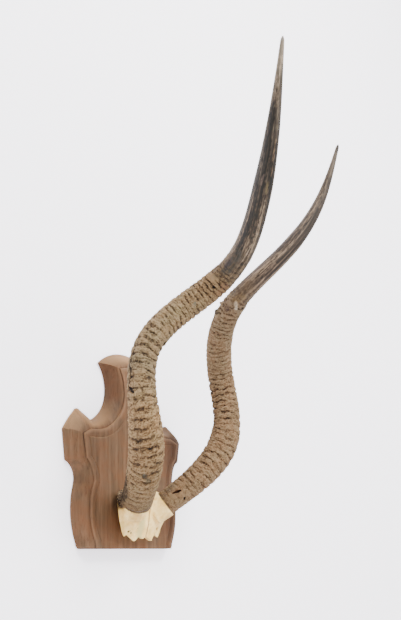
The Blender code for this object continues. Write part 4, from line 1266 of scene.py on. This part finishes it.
def add_light(name, where, aim, size, power):
    lamp = bpy.data.lights.new(name, "AREA")
    lamp.size, lamp.energy = size, power
    obj = bpy.data.objects.new(name, lamp)
    obj.location = where
    obj.rotation_euler = (Vector(aim) - Vector(where)).to_track_quat("-Z", "Y").to_euler()
    bpy.context.scene.collection.objects.link(obj)


def light_room():
    add_light("key", KEY_PLACE, KEY_AIM, KEY_SIZE, KEY_POWER)
    add_light("fill", FILL_PLACE, KEY_AIM, FILL_SIZE, FILL_POWER)
    world = bpy.data.worlds.new("studio")
    world.use_nodes = True
    sky = world.node_tree.nodes["Background"]
    sky.inputs["Color"].default_value = linear("#f6f5f8")
    sky.inputs["Strength"].default_value = SKY_STRENGTH
    bpy.context.scene.world = world


def place_camera():
    lens = bpy.data.cameras.new("camera")
    lens.lens = CAMERA_LENS
    lens.shift_x, lens.shift_y = CAMERA_SHIFT
    lens.clip_start, lens.clip_end = 0.05, 50
    ahead = Vector((-math.sin(CAMERA_YAW) * math.cos(CAMERA_PITCH),
                    math.cos(CAMERA_YAW) * math.cos(CAMERA_PITCH), math.sin(CAMERA_PITCH)))
    right = Vector((math.cos(CAMERA_YAW), math.sin(CAMERA_YAW), 0))
    up = right.cross(ahead)
    cos, sin = math.cos(CAMERA_ROLL), math.sin(CAMERA_ROLL)
    axes = Matrix((cos * right + sin * up, cos * up - sin * right, -ahead)).transposed()
    camera = bpy.data.objects.new("camera", lens)
    camera.matrix_world = Matrix.Translation(CAMERA_PLACE) @ axes.to_4x4()
    bpy.context.scene.collection.objects.link(camera)
    bpy.context.scene.camera = camera


# ---- putting it together --------------------------------------------------------------

place_camera()
light_room()
build_room()

growth, growth_sockets = horn_growth_tree()
grow_horn("horn_left", growth, growth_sockets, horn_blank(NEAR_SCARS, NEAR_STAINS, NEAR_BARK),
          NEAR_SIZES, weathered_horn("horn_weathered_tan", NEAR_LOOK), "horn_tan")
grow_horn("horn_right", growth, growth_sockets,
          horn_blank(FAR_SCARS, FAR_STAINS, FAR_BARK, right=True),
          FAR_SIZES, weathered_horn("horn_weathered_brown", FAR_LOOK), "horn_brown")

wood = stained_shield_wood()
board = build_shield(wood)
cutters = cut_out(board, pocket_shapes())
board = settle(board, "shield_board", wood)
board.data.set_sharp_from_angle(angle=math.radians(SHARP_ANGLE))
drop(cutters)
place(board, "shield_board", "stained_wood")

bone = build_skull(dry_skull_bone())
place(bone, "skull_plate", "dry_bone")

zinc = zinc_plated("steel_stamped_zinc_plated", [(0.35, "#9c9a92"), (0.65, "#b9b6ac")], 0.5)
screw = zinc_plated("steel_rolled_zinc_plated", [(0.35, "#94928c"), (0.65, "#b3b1a8")], 0.3)
for node, metal in (("keyhole_hanger", zinc), ("skull_screw_l", screw),
                    ("skull_screw_r", screw), ("hanger_screw_low", screw),
                    ("hanger_screw_high", screw)):
    for slot_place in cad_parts[node].material_slots:
        slot_place.material = metal
